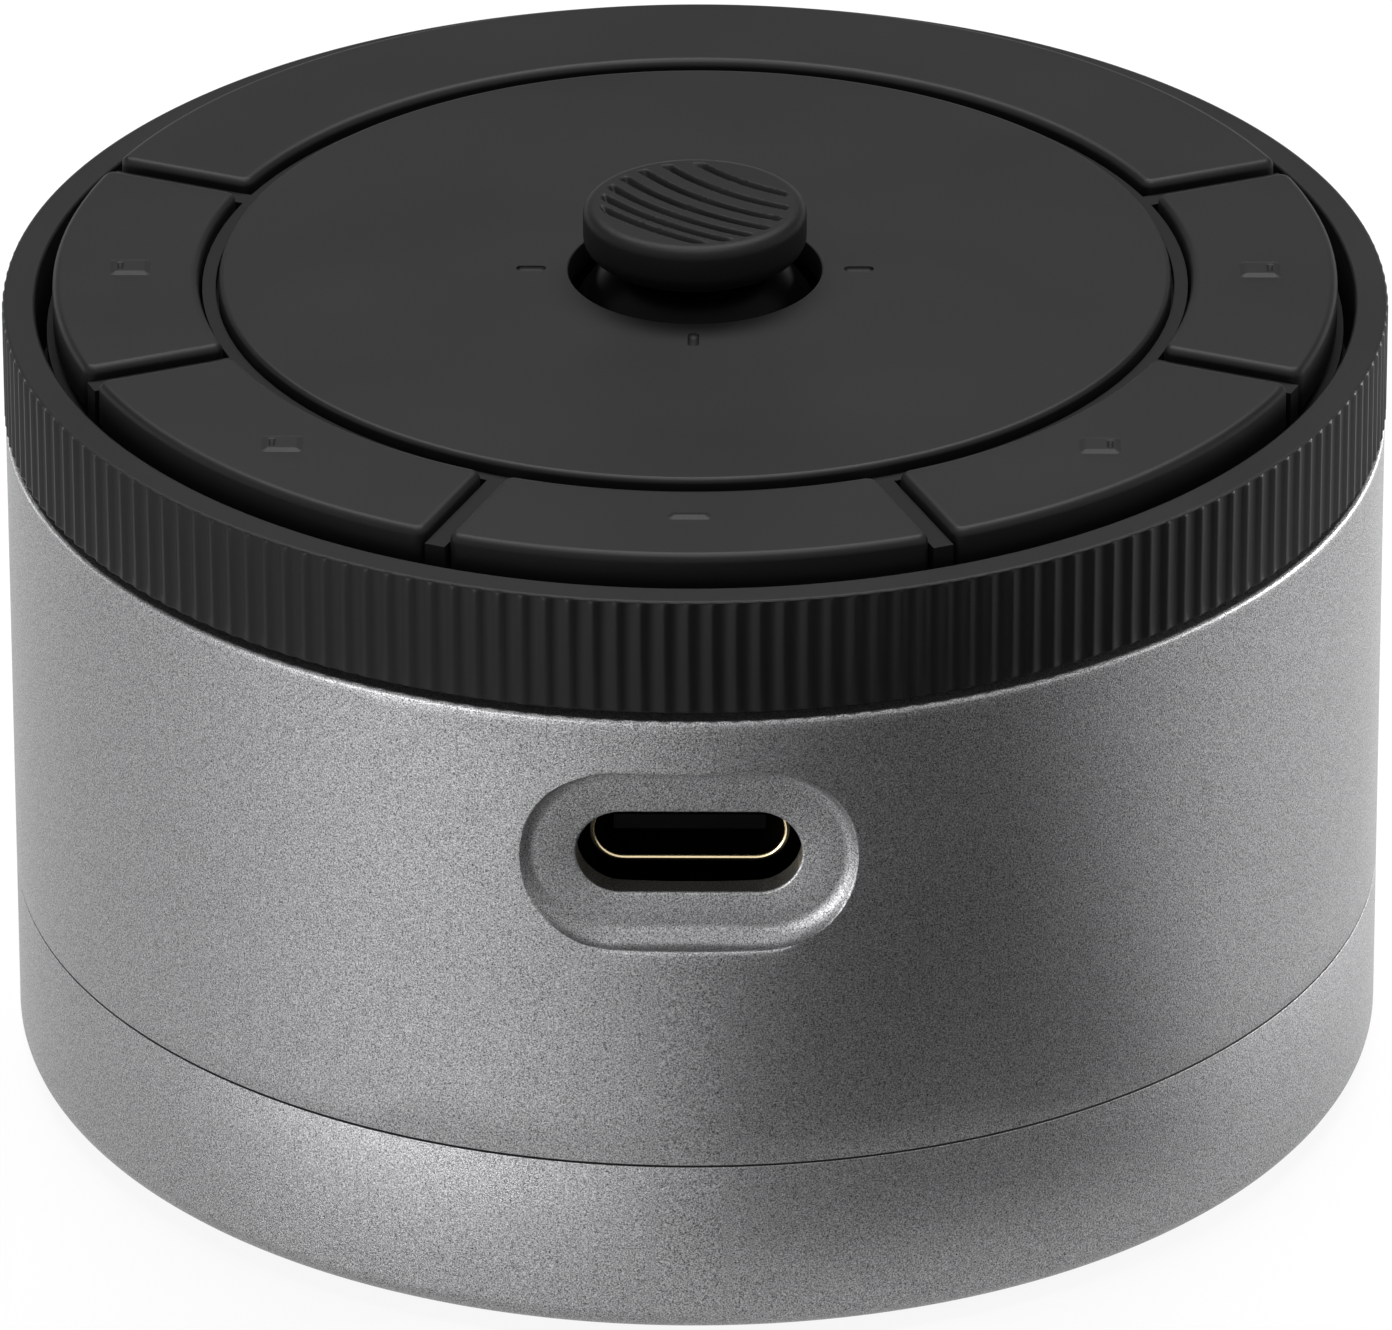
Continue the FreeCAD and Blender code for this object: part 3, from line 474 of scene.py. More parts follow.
def next_ring(bm, edges, place):
    """Extrudes the last ring of edges and puts the new points where place(share) says."""
    share = bm.verts.layers.float["share"]
    made = bmesh.ops.extrude_edge_only(bm, edges=edges)["geom"]
    new = {item for item in made if isinstance(item, bmesh.types.BMVert)}
    for vert in new:
        vert.co = Vector(place(vert[share])) * MM
    return [item for item in made if isinstance(item, bmesh.types.BMEdge) and set(item.verts) <= new]


def blend(first, second, amount):
    return tuple(a + (b - a) * amount for a, b in zip(first, second))


def on_tube(radius, x):
    return -math.sqrt(radius ** 2 - x ** 2)


def deeper(first, second, width=0.1):
    """The larger of two depths, with a small round where they meet."""
    amount = min(max(0.5 + 0.5 * (first - second) / width, 0), 1)
    return second + (first - second) * amount + width * amount * (1 - amount)


def towards_slot(radius, size, amount):
    """Ring on a tube, part of the way from the edge of the upright panel to a slot outline."""
    half_width = radius * math.sin(PANEL_ANGLE)

    def place(share):
        edge = panel_outline(share, half_width, PORT_LEVEL - SLEEVE_LOW, SLEEVE_TOP - PORT_LEVEL)
        x, z = blend(edge, slot_outline(share, *size), amount)
        return x, on_tube(radius, x), PORT_LEVEL + z
    return place


def recess_ring(inset, level, sunk):
    """Ring of the recess: inset from its outline, at a level in the wall or sunk below the skin."""
    def place(share):
        x, z = slot_outline(share, RECESS[0] - 2 * inset, RECESS[1] - 2 * inset)
        skin = on_tube(BODY_RADIUS, x)
        if level is None:
            wall = RECESS_FLOOR - COVE - skin
            return x, skin + sunk * min(max(wall / LIP, 0), 1), PORT_LEVEL + z
        return x, deeper(level, skin), PORT_LEVEL + z
    return place


def slot_ring(size, level):
    def place(share):
        x, z = slot_outline(share, *size)
        return x, on_tube(SLEEVE_BORE, x) if level is None else level, PORT_LEVEL + z
    return place


bm = bmesh.new()
rim_size = (RECESS[0] + 2 * LIP, RECESS[1] + 2 * LIP)
ring = first_ring(bm, towards_slot(BODY_RADIUS, rim_size, 0), RING_POINTS)
for step in range(1, PANEL_RINGS + 1):
    amount = 1 - (1 - step / PANEL_RINGS) ** PANEL_CROWDING
    ring = next_ring(bm, ring, towards_slot(BODY_RADIUS, rim_size, amount))
for step in range(1, LIP_RINGS + 1):
    swing = math.radians(90 * step / LIP_RINGS)
    ring = next_ring(bm, ring, recess_ring(-LIP * (1 - math.sin(swing)), None, LIP * (1 - math.cos(swing))))
for step in range(COVE_RINGS + 1):
    swing = math.radians(90 - 90 * step / COVE_RINGS)
    level = RECESS_FLOOR - COVE * (1 - math.cos(swing))
    ring = next_ring(bm, ring, recess_ring(COVE * (1 - math.sin(swing)), level, None))
for turn in EDGE_TURNS:
    swing = math.radians(turn)
    reach = SLOT_EDGE * (1 - math.sin(swing))
    level = RECESS_FLOOR + SLOT_EDGE * (1 - math.cos(swing))
    ring = next_ring(bm, ring, slot_ring((SLOT[0] + 2 * reach, SLOT[1] + 2 * reach), level))
ring = next_ring(bm, ring, slot_ring(SLOT, None))
for step in range(1, INSIDE_RINGS + 1):
    ring = next_ring(bm, ring, towards_slot(SLEEVE_BORE, SLOT, 1 - step / INSIDE_RINGS))
side = [edge for edge in bm.edges
        if all(abs(math.atan2(vert.co.x, -vert.co.y) - PANEL_ANGLE) < ON_EDGE for vert in edge.verts)]
side_points = list({vert for edge in side for vert in edge.verts})
bmesh.ops.spin(bm, geom=side_points + side, cent=(0, 0, 0), axis=(0, 0, 1),
               angle=FULL_TURN - 2 * PANEL_ANGLE, steps=TUBE_STEPS)
bmesh.ops.remove_doubles(bm, verts=bm.verts, dist=WELD)


def circle_edges(bm, radius, height):
    """Edges of a mesh that lie on one circle about Z."""
    found = []
    for edge in bm.edges:
        if all(abs(vert.co.z - height * MM) < WELD and abs(vert.co.xy.length - radius * MM) < WELD
               for vert in edge.verts):
            found.append(edge)
    return found


for height in (SLEEVE_LOW, SLEEVE_TOP):
    rims = circle_edges(bm, BODY_RADIUS, height) + circle_edges(bm, SLEEVE_BORE, height)
    bmesh.ops.bridge_loops(bm, edges=rims)
bmesh.ops.recalc_face_normals(bm, faces=bm.faces)
for height, size in ((SLEEVE_LOW, SEAM_EDGE), (SLEEVE_TOP, TOP_EDGE)):
    bmesh.ops.bevel(bm, geom=circle_edges(bm, BODY_RADIUS, height), offset=size * MM,
                    offset_type="OFFSET", segments=3, profile=0.5, affect="EDGES", material=-1)
for angle in TIE_ANGLES:
    turn = Matrix.Rotation(math.radians(angle), 4, "Z")
    middle = Matrix.Translation(((LUG_INNER + LUG[0] / 2) * MM, 0, (LUG_TOP - LUG[2] / 2) * MM))
    size = Matrix.Diagonal((LUG[0] * MM, LUG[1] * MM, LUG[2] * MM, 1))
    bmesh.ops.create_cube(bm, size=1.0, matrix=turn @ middle @ size)
piece("sleeve_shell", bm, blasted_metal, "housing", ["sleeve"])


# ---- Main board -------------------------------------------------------------------------------
# Round glass-fibre board with black solder mask over copper tracks, screwed to the chassis posts.
# It carries the controller chip and the flat flexible circuit that climbs to the key board.
TRACK_SCALE = 380.0
TRACK_LEVEL = 0.72
FIELD_SCALE = 210.0
ACROSS_LEVEL = 0.5
FILLED_LEVEL = 0.35


def tracks_group():
    """Mask of parallel copper tracks that run one way here and the other way there."""
    group = bpy.data.node_groups.new("copper_tracks", "ShaderNodeTree")
    group.interface.new_socket("Mask", in_out="OUTPUT", socket_type="NodeSocketFloat")
    result = group.nodes.new("NodeGroupOutput").inputs
    place = group.nodes.new("ShaderNodeTexCoord").outputs["Object"]
    bands = []
    for direction in ("X", "Y"):
        wave = group.nodes.new("ShaderNodeTexWave")
        wave.bands_direction = direction
        wave.inputs["Scale"].default_value = TRACK_SCALE
        link(group, place, wave.inputs["Vector"])
        bands.append(maths(group, "GREATER_THAN", wave.outputs["Fac"], TRACK_LEVEL))
    fields = group.nodes.new("ShaderNodeTexVoronoi")
    fields.inputs["Scale"].default_value = FIELD_SCALE
    link(group, place, fields.inputs["Vector"])
    split = group.nodes.new("ShaderNodeSeparateColor")
    link(group, fields.outputs["Color"], split.inputs["Color"])
    across = maths(group, "GREATER_THAN", split.outputs["Red"], ACROSS_LEVEL)
    filled = maths(group, "GREATER_THAN", split.outputs["Green"], FILLED_LEVEL)
    along = maths(group, "SUBTRACT", 1.0, across)
    one_way = maths(group, "MULTIPLY", bands[0], across)
    other_way = maths(group, "MULTIPLY", bands[1], along)
    mask = maths(group, "ADD", one_way, other_way)
    link(group, maths(group, "MULTIPLY", mask, filled), result["Mask"])
    return group


copper_tracks = tracks_group()
board = finish("board", (0.0050, 0.0055, 0.0052), 0.42, specular=0.2, scale=2500.0, contrast=0.2, mottle=0.3,
               bump=0.01, tracks=(0.016, 0.018, 0.017))
chip = finish("chip", (0.02, 0.02, 0.022), 0.6, scale=4500.0, contrast=0.5, mottle=0.3, bump=0.008)
flex = finish("flex", (0.30, 0.13, 0.03), 0.35, scale=3000.0, contrast=0.15, mottle=0.2, bump=0.004,
              tracks=(0.42, 0.20, 0.06))
dress(board, "main_board", "key_board", "stick_board")
dress(chip, "controller_chip", "encoder_sensor", "hall_sensor")
dress(flex, "ribbon_cable")


# ---- USB-C inlet ------------------------------------------------------------------------------
# Drawn brass shell, soldered to the front of the main board; the can is coloured dark brass as
# painted shade for the shadow inside the port, and the lip of its mouth is given bright brass as a
# painted highlight. A black tongue inside it carries two rows of gold-flashed contacts.
USB_LOW, USB_HIGH = [[value / MM for value in corner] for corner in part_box("usb_shell")]
USB_SIZE = (USB_HIGH[0] - USB_LOW[0], USB_HIGH[2] - USB_LOW[2])
USB_WALL = 0.3
USB_ROUND = 0.11
USB_POINTS = 96
MOUTH_RINGS = 4
LIP_INSET = 0.02
LIP_SUNK = 0.04
LIP_TAIL = 0.06


def usb_ring(inset, depth):
    def place(share):
        x, z = slot_outline(share, USB_SIZE[0] - 2 * inset, USB_SIZE[1] - 2 * inset)
        return x, USB_LOW[1] + depth, PORT_LEVEL + z
    return place


# Bright brass of the contacts; on the shell's lip it is a painted highlight.
contact_brass = finish("contact_brass", (0.86, 0.72, 0.44), 0.26, metallic=1.0, scale=4000.0, contrast=0.2,
                       mottle=0.35, bump=0.003)
# Painted shade: the can's colour is a darkened brass that stands for the shadow inside the port.
inlet_painted_shade = finish("inlet_painted_shade", (0.048, 0.041, 0.029), 0.30, metallic=1.0, scale=4000.0, contrast=0.2,
                     mottle=0.35, bump=0.003)
bm = bmesh.new()
length = USB_HIGH[1] - USB_LOW[1]
ring = first_ring(bm, usb_ring(0, length), USB_POINTS)
bmesh.ops.edgeloop_fill(bm, edges=ring)
for step in range(MOUTH_RINGS + 1):
    swing = math.radians(90 * step / MOUTH_RINGS)
    inset = USB_ROUND * (1 - math.cos(swing))
    ring = next_ring(bm, ring, usb_ring(inset, USB_ROUND * (1 - math.sin(swing))))
ring = next_ring(bm, ring, usb_ring(USB_WALL - USB_ROUND, 0))
ring = next_ring(bm, ring, usb_ring(USB_WALL, USB_ROUND))
ring = next_ring(bm, ring, usb_ring(USB_WALL, length - USB_WALL))
bmesh.ops.edgeloop_fill(bm, edges=ring)
bmesh.ops.recalc_face_normals(bm, faces=bm.faces)
piece("usb_can", bm, inlet_painted_shade, "housing", ["usb_shell"])

bm = bmesh.new()
ring = first_ring(bm, usb_ring(USB_WALL - USB_ROUND + LIP_INSET, LIP_SUNK), USB_POINTS)
for step in range(MOUTH_RINGS + 1):
    swing = math.radians(90 * step / MOUTH_RINGS)
    inset = USB_WALL - USB_ROUND * (1 - math.sin(swing))
    ring = next_ring(bm, ring, usb_ring(inset, USB_ROUND * (1 - math.cos(swing))))
ring = next_ring(bm, ring, usb_ring(USB_WALL, USB_ROUND + LIP_TAIL))
ring = next_ring(bm, ring, usb_ring(USB_WALL - LIP_TAIL, USB_ROUND + LIP_TAIL))
bmesh.ops.recalc_face_normals(bm, faces=bm.faces)
# The lip of the mouth takes the bright brass as a painted highlight on a shell that is otherwise painted
# dark.
piece("usb_lip", bm, contact_brass, "housing", ["usb_shell"])
tongue_black = finish("tongue_black", (0.0022, 0.0022, 0.0022), 0.45, specular=0.06, bump=0.003)
dress(tongue_black, "usb_tongue")
dress(contact_brass, "usb_contacts")


# ---- Chassis ----------------------------------------------------------------------------------
# Glass-filled nylon frame in the top of the sleeve. The dial turns on its neck, held down by a
# steel clip and riding on a slippery washer, coloured black as painted shade so that the gap under
# the dial stays dark; three magnets under the dial give the clicks.
chassis_grey = finish("chassis_grey", (0.035, 0.036, 0.038), 0.55, scale=3200.0, contrast=0.5, mottle=0.4,
                      bump=0.012)
# Painted shade: the washer is coloured black so that the gap between sleeve and dial reads dark.
washer_black = finish("washer_black", (0.012, 0.012, 0.012), 0.4, specular=0.3, bump=0.002, rings=0.5)
magnet = finish("magnet", (0.58, 0.57, 0.54), 0.22, metallic=1.0, scale=3500.0, contrast=0.1, mottle=0.3,
                bump=0.002)
dress(chassis_grey, "chassis")
dress(washer_black, "glide_washer")
dress(magnet, "detent_magnets", "stick_magnet")
dress(plated_steel, "dial_clip")


# ---- Dial -------------------------------------------------------------------------------------
# Black dial that turns without end: a ring with 188 upright flutes between narrow crests, moulded
# in satin black and pressed on a hub. Under it sit the magnetised ring and the toothed steel ring.
DIAL_LOW, DIAL_TOP = [corner[2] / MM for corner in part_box("dial_ring")]
DIAL_RADIUS = 31.3
DIAL_BORE = 29.8
FLUTES = 188
FLUTE_DEPTH = 0.18
DIAL_EDGE = 0.2
BORE_EDGE = 0.12
FOOT_EDGE = ((0.24, 0.0), (0.10, 0.04), (0.0, 0.14))
FLUTED_BAND = 0.25
FLUTE_TOP = DIAL_TOP - 0.42
FLUTE_END = DIAL_TOP - 0.1
HUB_SEAT = 32.35
HUB_RELIEF = 28.7
WEDGE_COLUMNS = (0.0, 0.07, 0.25, 0.5, 0.75, 0.93, 1.0)

dial_black = finish("dial_black", (0.0042, 0.0042, 0.0043), 0.46, specular=0.13, scale=7000.0, contrast=0.4,
                    mottle=0.2, bump=0.003)
wedge = [(HUB_RELIEF, DIAL_LOW)]
wedge += [(DIAL_RADIUS - inset, DIAL_LOW + rise) for inset, rise in FOOT_EDGE]
wedge += [(DIAL_RADIUS, FLUTE_TOP)]
wedge += arc(DIAL_RADIUS - DIAL_EDGE, DIAL_TOP - DIAL_EDGE, DIAL_EDGE, 0, 90, 4)
wedge += arc(DIAL_BORE + BORE_EDGE, DIAL_TOP - BORE_EDGE, BORE_EDGE, 90, 180, 2)
wedge += [(DIAL_BORE, HUB_SEAT), (HUB_RELIEF, HUB_SEAT)]
pitch = FULL_TURN / FLUTES
bm = turned(wedge, len(WEDGE_COLUMNS) - 1, pitch)
for vert in bm.verts:
    column = round(math.atan2(vert.co.y, vert.co.x) / pitch * (len(WEDGE_COLUMNS) - 1))
    place = WEDGE_COLUMNS[column]
    radius = vert.co.xy.length / MM
    inside = max(min((place - WEDGE_COLUMNS[1]) / (WEDGE_COLUMNS[-2] - WEDGE_COLUMNS[1]), 1), 0)
    hollow = FLUTE_DEPTH * (1 - (2 * inside - 1) ** 2)
    height = vert.co.z / MM
    if radius > DIAL_RADIUS - FLUTED_BAND and height < FLUTE_END:
        radius = min(radius, DIAL_RADIUS - hollow)
    vert.co.x = radius * math.cos(place * pitch) * MM
    vert.co.y = radius * math.sin(place * pitch) * MM
bmesh.ops.spin(bm, geom=bm.verts[:] + bm.edges[:] + bm.faces[:], cent=(0, 0, 0), axis=(0, 0, 1),
               angle=FULL_TURN - pitch, steps=FLUTES - 1, use_duplicate=True)
bmesh.ops.remove_doubles(bm, verts=bm.verts, dist=WELD)
bmesh.ops.recalc_face_normals(bm, faces=bm.faces)
piece("knurled_ring", bm, dial_black, "dial", ["dial_ring"], sharp=50.0)
dress(dial_black, "dial_hub")
dress(chip, "encoder_ring")
dress(steel, "detent_ring")


# ---- Key board and switches -------------------------------------------------------------------
# Ring-shaped board under the keys. Each key presses a white plunger into a tactile switch in a
# thin stainless can, soldered in a row round the board.
switch_white = finish("switch_white", (0.55, 0.55, 0.52), 0.45, scale=4000.0, contrast=0.1, mottle=0.15)
dress(plated_steel, "switch_cans")
KEY_NAMES = ("key_right", "key_arc", "key_left", "key_front_left", "key_front", "key_front_right")
for name in KEY_NAMES:
    dress(switch_white, name.replace("key", "plunger"))


# ---- Deck -------------------------------------------------------------------------------------
# Matt black moulding that closes the body. Its ribs are the floors of the grooves between keys
# and its round wall the floor of the channel about the disc; the keys' hooks snap under it.
deck_black = finish("deck_black", (0.0060, 0.0060, 0.0062), 0.60, specular=0.15, scale=5200.0, contrast=0.3,
                    mottle=0.2, bump=0.004)
dress(deck_black, "deck")


# ---- Keys -------------------------------------------------------------------------------------
# Hollow moulded caps with a soft-touch coat: five short ones with a raised mark and a long plain
# one at the back. Two or three hooks hold each in the deck, and nubs reach down to the switches.
KEY_SPANS = {
    "key_right": (-22.5, 22.5),
    "key_arc": (22.5, 157.5),
    "key_left": (157.5, 202.5),
    "key_front_left": (202.5, 247.5),
    "key_front": (247.5, 292.5),
    "key_front_right": (292.5, 337.5),
}
TOP_FACE = 38.1
KEY_OUTER = 29.0
KEY_INNER = 22.4
KEY_LOW = 36.1
HOOK_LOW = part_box("key_front")[0][2] / MM
KEY_WALL = 1.2
KEY_CORNER = 0.55
HOLLOW_CORNER = 0.2
CORNER_STEPS = 6
ARC_STEP = 1.25
KEY_EDGE = 0.38
EDGE_RINGS = 7
GROOVE_HALF = 0.55
MARK_CIRCLE = 25.5
BAR_CIRCLE = 25.1
SQUARE = (1.9, 1.7)
BAR = (1.95, 0.74)
MARK_RISE = 0.09
MARK_SLOPE = 0.36
MARK_CORNER = 0.3
MARK_FOOT = 0.02
MARK_CELLS = 44
MARK_SKIRT = 0.1
NICK = (0.34, 0.80)
NICK_SHARE = 0.24
NICK_DEPTH = 0.09
NICK_CORNER = 0.1
NICK_SLOPE = 0.12
LONG_KEY = 90
LONG_KEY_SWITCH = 30.0
OVERLAP = 0.1
NUB_RADIUS = 1.3
NUB_LOW = 36.4
NUB_CIRCLE = TIE_CIRCLE
HOOK_FROM_END = 7
HOOK_WIDTH = 2.0
HOOK_LEG = (27.95, 28.6, HOOK_LOW, KEY_LOW + OVERLAP)
HOOK_BARB = (28.4, 29.0, HOOK_LOW, HOOK_LOW + 0.55)

soft_black = finish("soft_black", (0.0065, 0.0065, 0.0067), 0.48, specular=0.22, scale=8000.0, contrast=0.25,
                    mottle=0.1, bump=0.0025)


def sector_outline(start, end, inset, corner):
    """Outline of a key in mm, drawn in by an inset: two ends beside the dividers, four round corners."""
    inner, outer, side = KEY_INNER + inset, KEY_OUTER - inset, GROOVE_HALF + inset + corner
    turn_in = math.asin(side / (inner + corner))
    turn_out = math.asin(side / (outer - corner))
    swing_in, swing_out = math.degrees(turn_in), math.degrees(turn_out)
    end_line = arc((inner + corner) * math.cos(turn_in), side, corner, 180 + swing_in, 270, CORNER_STEPS)
    end_line += arc((outer - corner) * math.cos(turn_out), side, corner, 270, 360 + swing_out, CORNER_STEPS)
    steps = round((end - start) / ARC_STEP)
    first = Matrix.Rotation(math.radians(start), 2)
    last = Matrix.Rotation(math.radians(end), 2)
    return ([first @ Vector(point) for point in end_line]
            + arc(0, 0, outer, start + swing_out, end - swing_out, steps)[1:-1]
            + [last @ Vector((x, -y)) for x, y in reversed(end_line)]
            + arc(0, 0, inner, end - swing_in, start + swing_in, steps)[1:-1])


def key_cap(start, end):
    """Hollow sector with rounded corners and a rounded top rim."""
    def at(inset, height, corner=None):
        outline = sector_outline(start, end, inset, KEY_CORNER - inset if corner is None else corner)
        return lambda share: (*outline[round(share * len(outline))], height)

    bm = bmesh.new()
    points = len(sector_outline(start, end, 0, KEY_CORNER))
    ring = first_ring(bm, at(KEY_WALL, TOP_FACE - KEY_WALL, HOLLOW_CORNER), points)
    bmesh.ops.edgeloop_fill(bm, edges=ring)
    ring = next_ring(bm, ring, at(KEY_WALL, KEY_LOW, HOLLOW_CORNER))
    ring = next_ring(bm, ring, at(0, KEY_LOW))
    for step in range(EDGE_RINGS + 1):
        swing = math.radians(90 * step / EDGE_RINGS)
        height = TOP_FACE - KEY_EDGE * (1 - math.sin(swing))
        ring = next_ring(bm, ring, at(KEY_EDGE * (1 - math.cos(swing)), height))
    bmesh.ops.edgeloop_fill(bm, edges=ring)
    bmesh.ops.recalc_face_normals(bm, faces=bm.faces)
    return bm


def eased(value):
    """Smooth step from 0 to 1."""
    value = min(max(value, 0), 1)
    return value * value * (3 - 2 * value)


def within(x, y, size, corner):
    """Distance in from the outline of a rounded rectangle about the origin."""
    past_x = abs(x) - size[0] / 2 + corner
    past_y = abs(y) - size[1] / 2 + corner
    return corner - math.hypot(max(past_x, 0), max(past_y, 0)) - min(max(past_x, past_y), 0)


def add_mark(bm, bearing, name):
    """Low raised mark whose sides run along X and Y, with soft slopes: a bar or a nicked square."""
    size, circle = (BAR, BAR_CIRCLE) if name == "key_front" else (SQUARE, MARK_CIRCLE)
    turn = math.radians(bearing)
    centre = Vector((circle * math.cos(turn), circle * math.sin(turn), TOP_FACE - MARK_FOOT)) * MM
    nick_x = math.copysign(size[0] * NICK_SHARE, centre.x)
    grid = bmesh.ops.create_grid(bm, x_segments=MARK_CELLS, y_segments=MARK_CELLS, size=0.5)["verts"]
    own = set(grid)
    for vert in grid:
        x = vert.co.x * size[0]
        y = vert.co.y * size[1]
        rise = MARK_RISE * eased(within(x, y, size, MARK_CORNER) / MARK_SLOPE)
        if name != "key_front":
            rise -= NICK_DEPTH * eased(within(x - nick_x, y, NICK, NICK_CORNER) / NICK_SLOPE)
        vert.co = centre + Vector((x, y, rise + MARK_FOOT if rise > 0 else 0)) * MM
    border = [edge for edge in bm.edges if edge.is_boundary and set(edge.verts) <= own]
    skirt = bmesh.ops.extrude_edge_only(bm, edges=border)["geom"]
    low = [item for item in skirt if isinstance(item, bmesh.types.BMVert)]
    bmesh.ops.translate(bm, verts=low, vec=(0, 0, -MARK_SKIRT * MM))
    rim = [item for item in skirt if isinstance(item, bmesh.types.BMEdge) and set(item.verts) <= set(low)]
    bmesh.ops.edgeloop_fill(bm, edges=rim)


def switch_bearings(start, end):
    """One switch under the middle of a short key, two under a long one."""
    middle = (start + end) / 2
    if end - start < LONG_KEY:
        return (middle,)
    return (middle - LONG_KEY_SWITCH, middle + LONG_KEY_SWITCH)


def hook_bearings(start, end):
    """One hook near each end of a key, and one in the middle of a long one."""
    first, last = start + HOOK_FROM_END, end - HOOK_FROM_END
    if end - start < LONG_KEY:
        return (first, last)
    return (first, (start + end) / 2, last)


def add_hook(bm, bearing):
    """Adds a snap hook: a leg under the outer wall and a barb that catches under the deck."""
    turn = Matrix.Rotation(math.radians(bearing), 4, "Z")
    for inner, outer, low, high in (HOOK_LEG, HOOK_BARB):
        middle = Matrix.Translation(((inner + outer) / 2 * MM, 0, (low + high) / 2 * MM))
        size = Matrix.Diagonal(((outer - inner) * MM, HOOK_WIDTH * MM, (high - low) * MM, 1))
        bmesh.ops.create_cube(bm, size=1.0, matrix=turn @ middle @ size)


for name in KEY_NAMES:
    start, end = KEY_SPANS[name]
    bm = key_cap(start, end)
    for bearing in switch_bearings(start, end):
        pillar(bm, NUB_RADIUS, NUB_LOW, TOP_FACE - KEY_WALL + OVERLAP, NUB_CIRCLE, bearing, 24)
    for bearing in hook_bearings(start, end):
        add_hook(bm, bearing)
    if name != "key_arc":
        add_mark(bm, (start + end) / 2, name)
    piece(name + "_cap", bm, soft_black, name, [name], sharp=40.0)


# ---- Centre disc ------------------------------------------------------------------------------
# Fixed soft-touch disc with the stick's hole in the middle and four shallow dashes round it, one
# for each way the stick tilts. It is held from below by screws in its bosses.
DISC_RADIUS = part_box("centre_disc")[1][0] / MM
DISC_LOW = TOP_FACE - 1.2
DISC_EDGE = 0.25
DISC_STEPS = 256
HOLE_RADIUS = 5.74
HOLE_EDGE = 0.07
DASH = (1.35, 0.52, 0.40)
DASH_CIRCLE = 7.4
DISC_BOSS_RADIUS = 1.7
DISC_BOSS_LOW = 35.6
DISC_BOSS_CIRCLE = DISC_RADIUS * 0.7


def carve(made, tool_bm):
    """Cuts a tool mesh out of a finished piece for good."""
    tool_mesh = bpy.data.meshes.new("cutting_tool")
    tool_bm.to_mesh(tool_mesh)
    tool_bm.free()
    tool = bpy.data.objects.new("cutting_tool", tool_mesh)
    scene.collection.objects.link(tool)
    cut = made.modifiers.new("cut", "BOOLEAN")
    cut.operation = "DIFFERENCE"
    cut.solver = "EXACT"
    cut.object = tool
    bpy.context.view_layer.update()
    result = bpy.data.meshes.new_from_object(made.evaluated_get(bpy.context.evaluated_depsgraph_get()))
    made.modifiers.clear()
    made.data = result
    bpy.data.objects.remove(tool)


bm = turned(arc(DISC_RADIUS - DISC_EDGE, TOP_FACE - DISC_EDGE, DISC_EDGE, 0, 90, 4)
            + arc(HOLE_RADIUS + HOLE_EDGE, TOP_FACE - HOLE_EDGE, HOLE_EDGE, 90, 180, 3)
            + [(HOLE_RADIUS, DISC_LOW), (DISC_RADIUS, DISC_LOW)], DISC_STEPS)
for angle in TIE_ANGLES:
    pillar(bm, DISC_BOSS_RADIUS, DISC_BOSS_LOW, DISC_LOW + OVERLAP, DISC_BOSS_CIRCLE, angle)
disc = piece("centre_plate", bm, soft_black, "housing", ["centre_disc"])
bm = bmesh.new()
for bearing in (0, 90, 180, 270):
    turn = Matrix.Rotation(math.radians(bearing), 4, "Z")
    place = turn @ Matrix.Translation((DASH_CIRCLE * MM, 0, TOP_FACE * MM))
    size = Matrix.Diagonal((DASH[1] * MM, DASH[1] * MM, DASH[2] * MM, 1))
    ball = bmesh.ops.create_uvsphere(bm, u_segments=40, v_segments=24, radius=0.5, matrix=size)["verts"]
    for vert in ball:
        if abs(vert.co.x) > WELD:
            vert.co.x += math.copysign((DASH[0] - DASH[1]) / 2 * MM, vert.co.x)
    bmesh.ops.transform(bm, matrix=place, verts=ball)
for face in bm.faces:
    face.smooth = True
carve(disc, bm)


# ---- Thumb-stick ------------------------------------------------------------------------------
# Sprung stick: a carrier that presses down on a switch holds a gimbal ring, and the stick's shaft
# tilts in it on a cross pin over a Hall sensor. A domed dust shield turns with it under the disc.
PIVOT = TOP_FACE - 4.5
SHIELD_RADIUS = 6.15
SHIELD_WALL = 0.6
SHIELD_RIM_ANGLE = 68
SHIELD_RIM_SLANT = 1.5
SHIELD_STEPS = 192
STICK_BORE = 1.42
CAP_RADIUS = 5.05
CAP_LOW, CAP_TOP = [corner[2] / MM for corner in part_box("stick_cap")]
CAP_TOP_ROUND = 0.55
CAP_LOW_ROUND = 0.9
CAP_STEPS = 384
SOCKET_TOP = CAP_TOP - 0.75
DISH_RADIUS = 6.2
DISH_RIM = 60.6
GRIP_RADIUS = 4.45
GRIP_RINGS = 68
GRIP_CENTRE = (9.07, 11.16)
GRIP_GROOVES = 7
GRIP_FIRST = 11.33
GRIP_STEP = 1.36
GRIP_CLOSING = 0.05
GRIP_WIDTH = 0.19
GRIP_FLAT = 0.35
GRIP_DEPTH = 0.30
GRIP_REACH = 4.15
GRIP_FADE = 0.12

shield_grey = finish("shield_grey", (0.0022, 0.0022, 0.0023), 0.33, specular=0.05, scale=5000.0, contrast=0.2,
                     mottle=0.2, bump=0.001)


def bore_angle(radius):
    """Height in degrees at which the stick's bore goes through a sphere about the pivot."""
    return 90 - math.degrees(math.asin(STICK_BORE / radius))


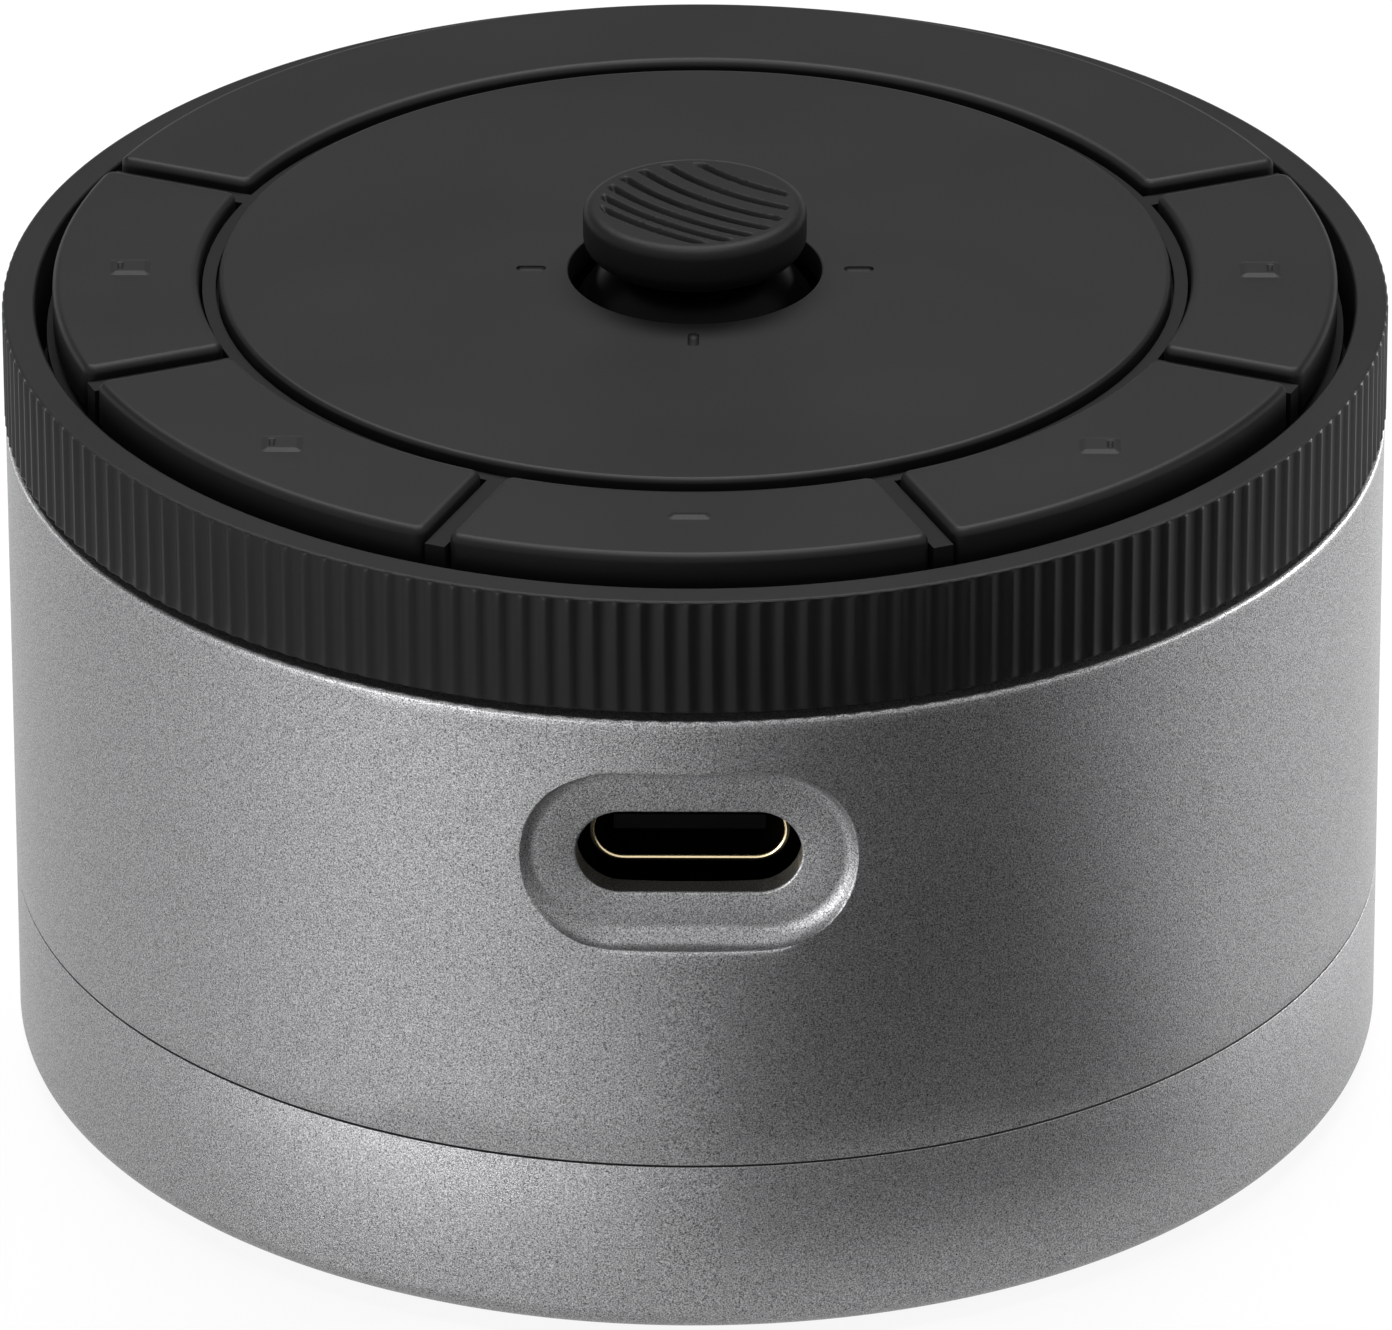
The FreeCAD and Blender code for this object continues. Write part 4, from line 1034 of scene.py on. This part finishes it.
shield_rim = 90 - SHIELD_RIM_ANGLE
shield_inside = SHIELD_RADIUS - SHIELD_WALL
bm = turned(arc(0, PIVOT, SHIELD_RADIUS, shield_rim, bore_angle(SHIELD_RADIUS), 24)
            + arc(0, PIVOT, shield_inside, bore_angle(shield_inside), shield_rim - SHIELD_RIM_SLANT, 20),
            SHIELD_STEPS)
piece("shield_dome", bm, shield_grey, "stick", ["dust_shield"])


def groove_radius(index):
    """Radius of one grip groove about their shared centre, in mm."""
    return GRIP_FIRST + GRIP_STEP * index - GRIP_CLOSING * index * index


def grip_sink(x, y):
    """Depth of the curved grip grooves at a point of the cap's top, all in mm."""
    away = math.hypot(x, y)
    reach = min(max((GRIP_REACH + GRIP_FADE - away) / (2 * GRIP_FADE), 0), 1)
    across = math.hypot(x - GRIP_CENTRE[0], y - GRIP_CENTRE[1])
    near = min(abs(across - groove_radius(index)) for index in range(GRIP_GROOVES))
    return GRIP_DEPTH * eased(1 + GRIP_FLAT - near / GRIP_WIDTH) * reach


top = [(GRIP_RADIUS * i / GRIP_RINGS, CAP_TOP) for i in range(GRIP_RINGS + 1)]
side = arc(CAP_RADIUS - CAP_TOP_ROUND, CAP_TOP - CAP_TOP_ROUND, CAP_TOP_ROUND, 90, 0, 6)
under = arc(CAP_RADIUS - CAP_LOW_ROUND, CAP_LOW + CAP_LOW_ROUND, CAP_LOW_ROUND, 0, -90, 8)
dish = arc(0, PIVOT, DISH_RADIUS, DISH_RIM, bore_angle(DISH_RADIUS), 8)
bm = turned(top + side + under + dish + [(STICK_BORE, SOCKET_TOP), (0, SOCKET_TOP)], CAP_STEPS)
for vert in bm.verts:
    if abs(vert.co.z - CAP_TOP * MM) < WELD and vert.co.xy.length < GRIP_RADIUS * MM:
        vert.co.z -= grip_sink(vert.co.x / MM, vert.co.y / MM) * MM
grip_black = finish("grip_black", (0.0045, 0.0045, 0.0046), 0.50, specular=0.19, scale=4200.0, contrast=0.7,
                    mottle=0.1, bump=0.010)
piece("thumb_cap", bm, grip_black, "stick", ["stick_cap"], sharp=60.0)

spring_steel = finish("spring_steel", (0.50, 0.49, 0.46), 0.32, metallic=1.0, scale=6000.0, contrast=0.15,
                      mottle=0.2, bump=0.002)
dress(spring_steel, "press_spring", "return_spring")
dress(steel, "stick_pin", "gimbal_ring", "stick_shaft")
dress(chassis_grey, "stick_carrier")
dress(plated_steel, "stick_housing")
dress(chip, "push_switch")


# ---- Light group ------------------------------------------------------------------------------
# The low softboxes light the metal body, the inlet's shell, the dial and the floor, not the black
# top.
for name in ("floor", "base_shell", "sleeve_shell", "usb_can", "usb_lip", "knurled_ring"):
    body_side.objects.link(bpy.data.objects[name])
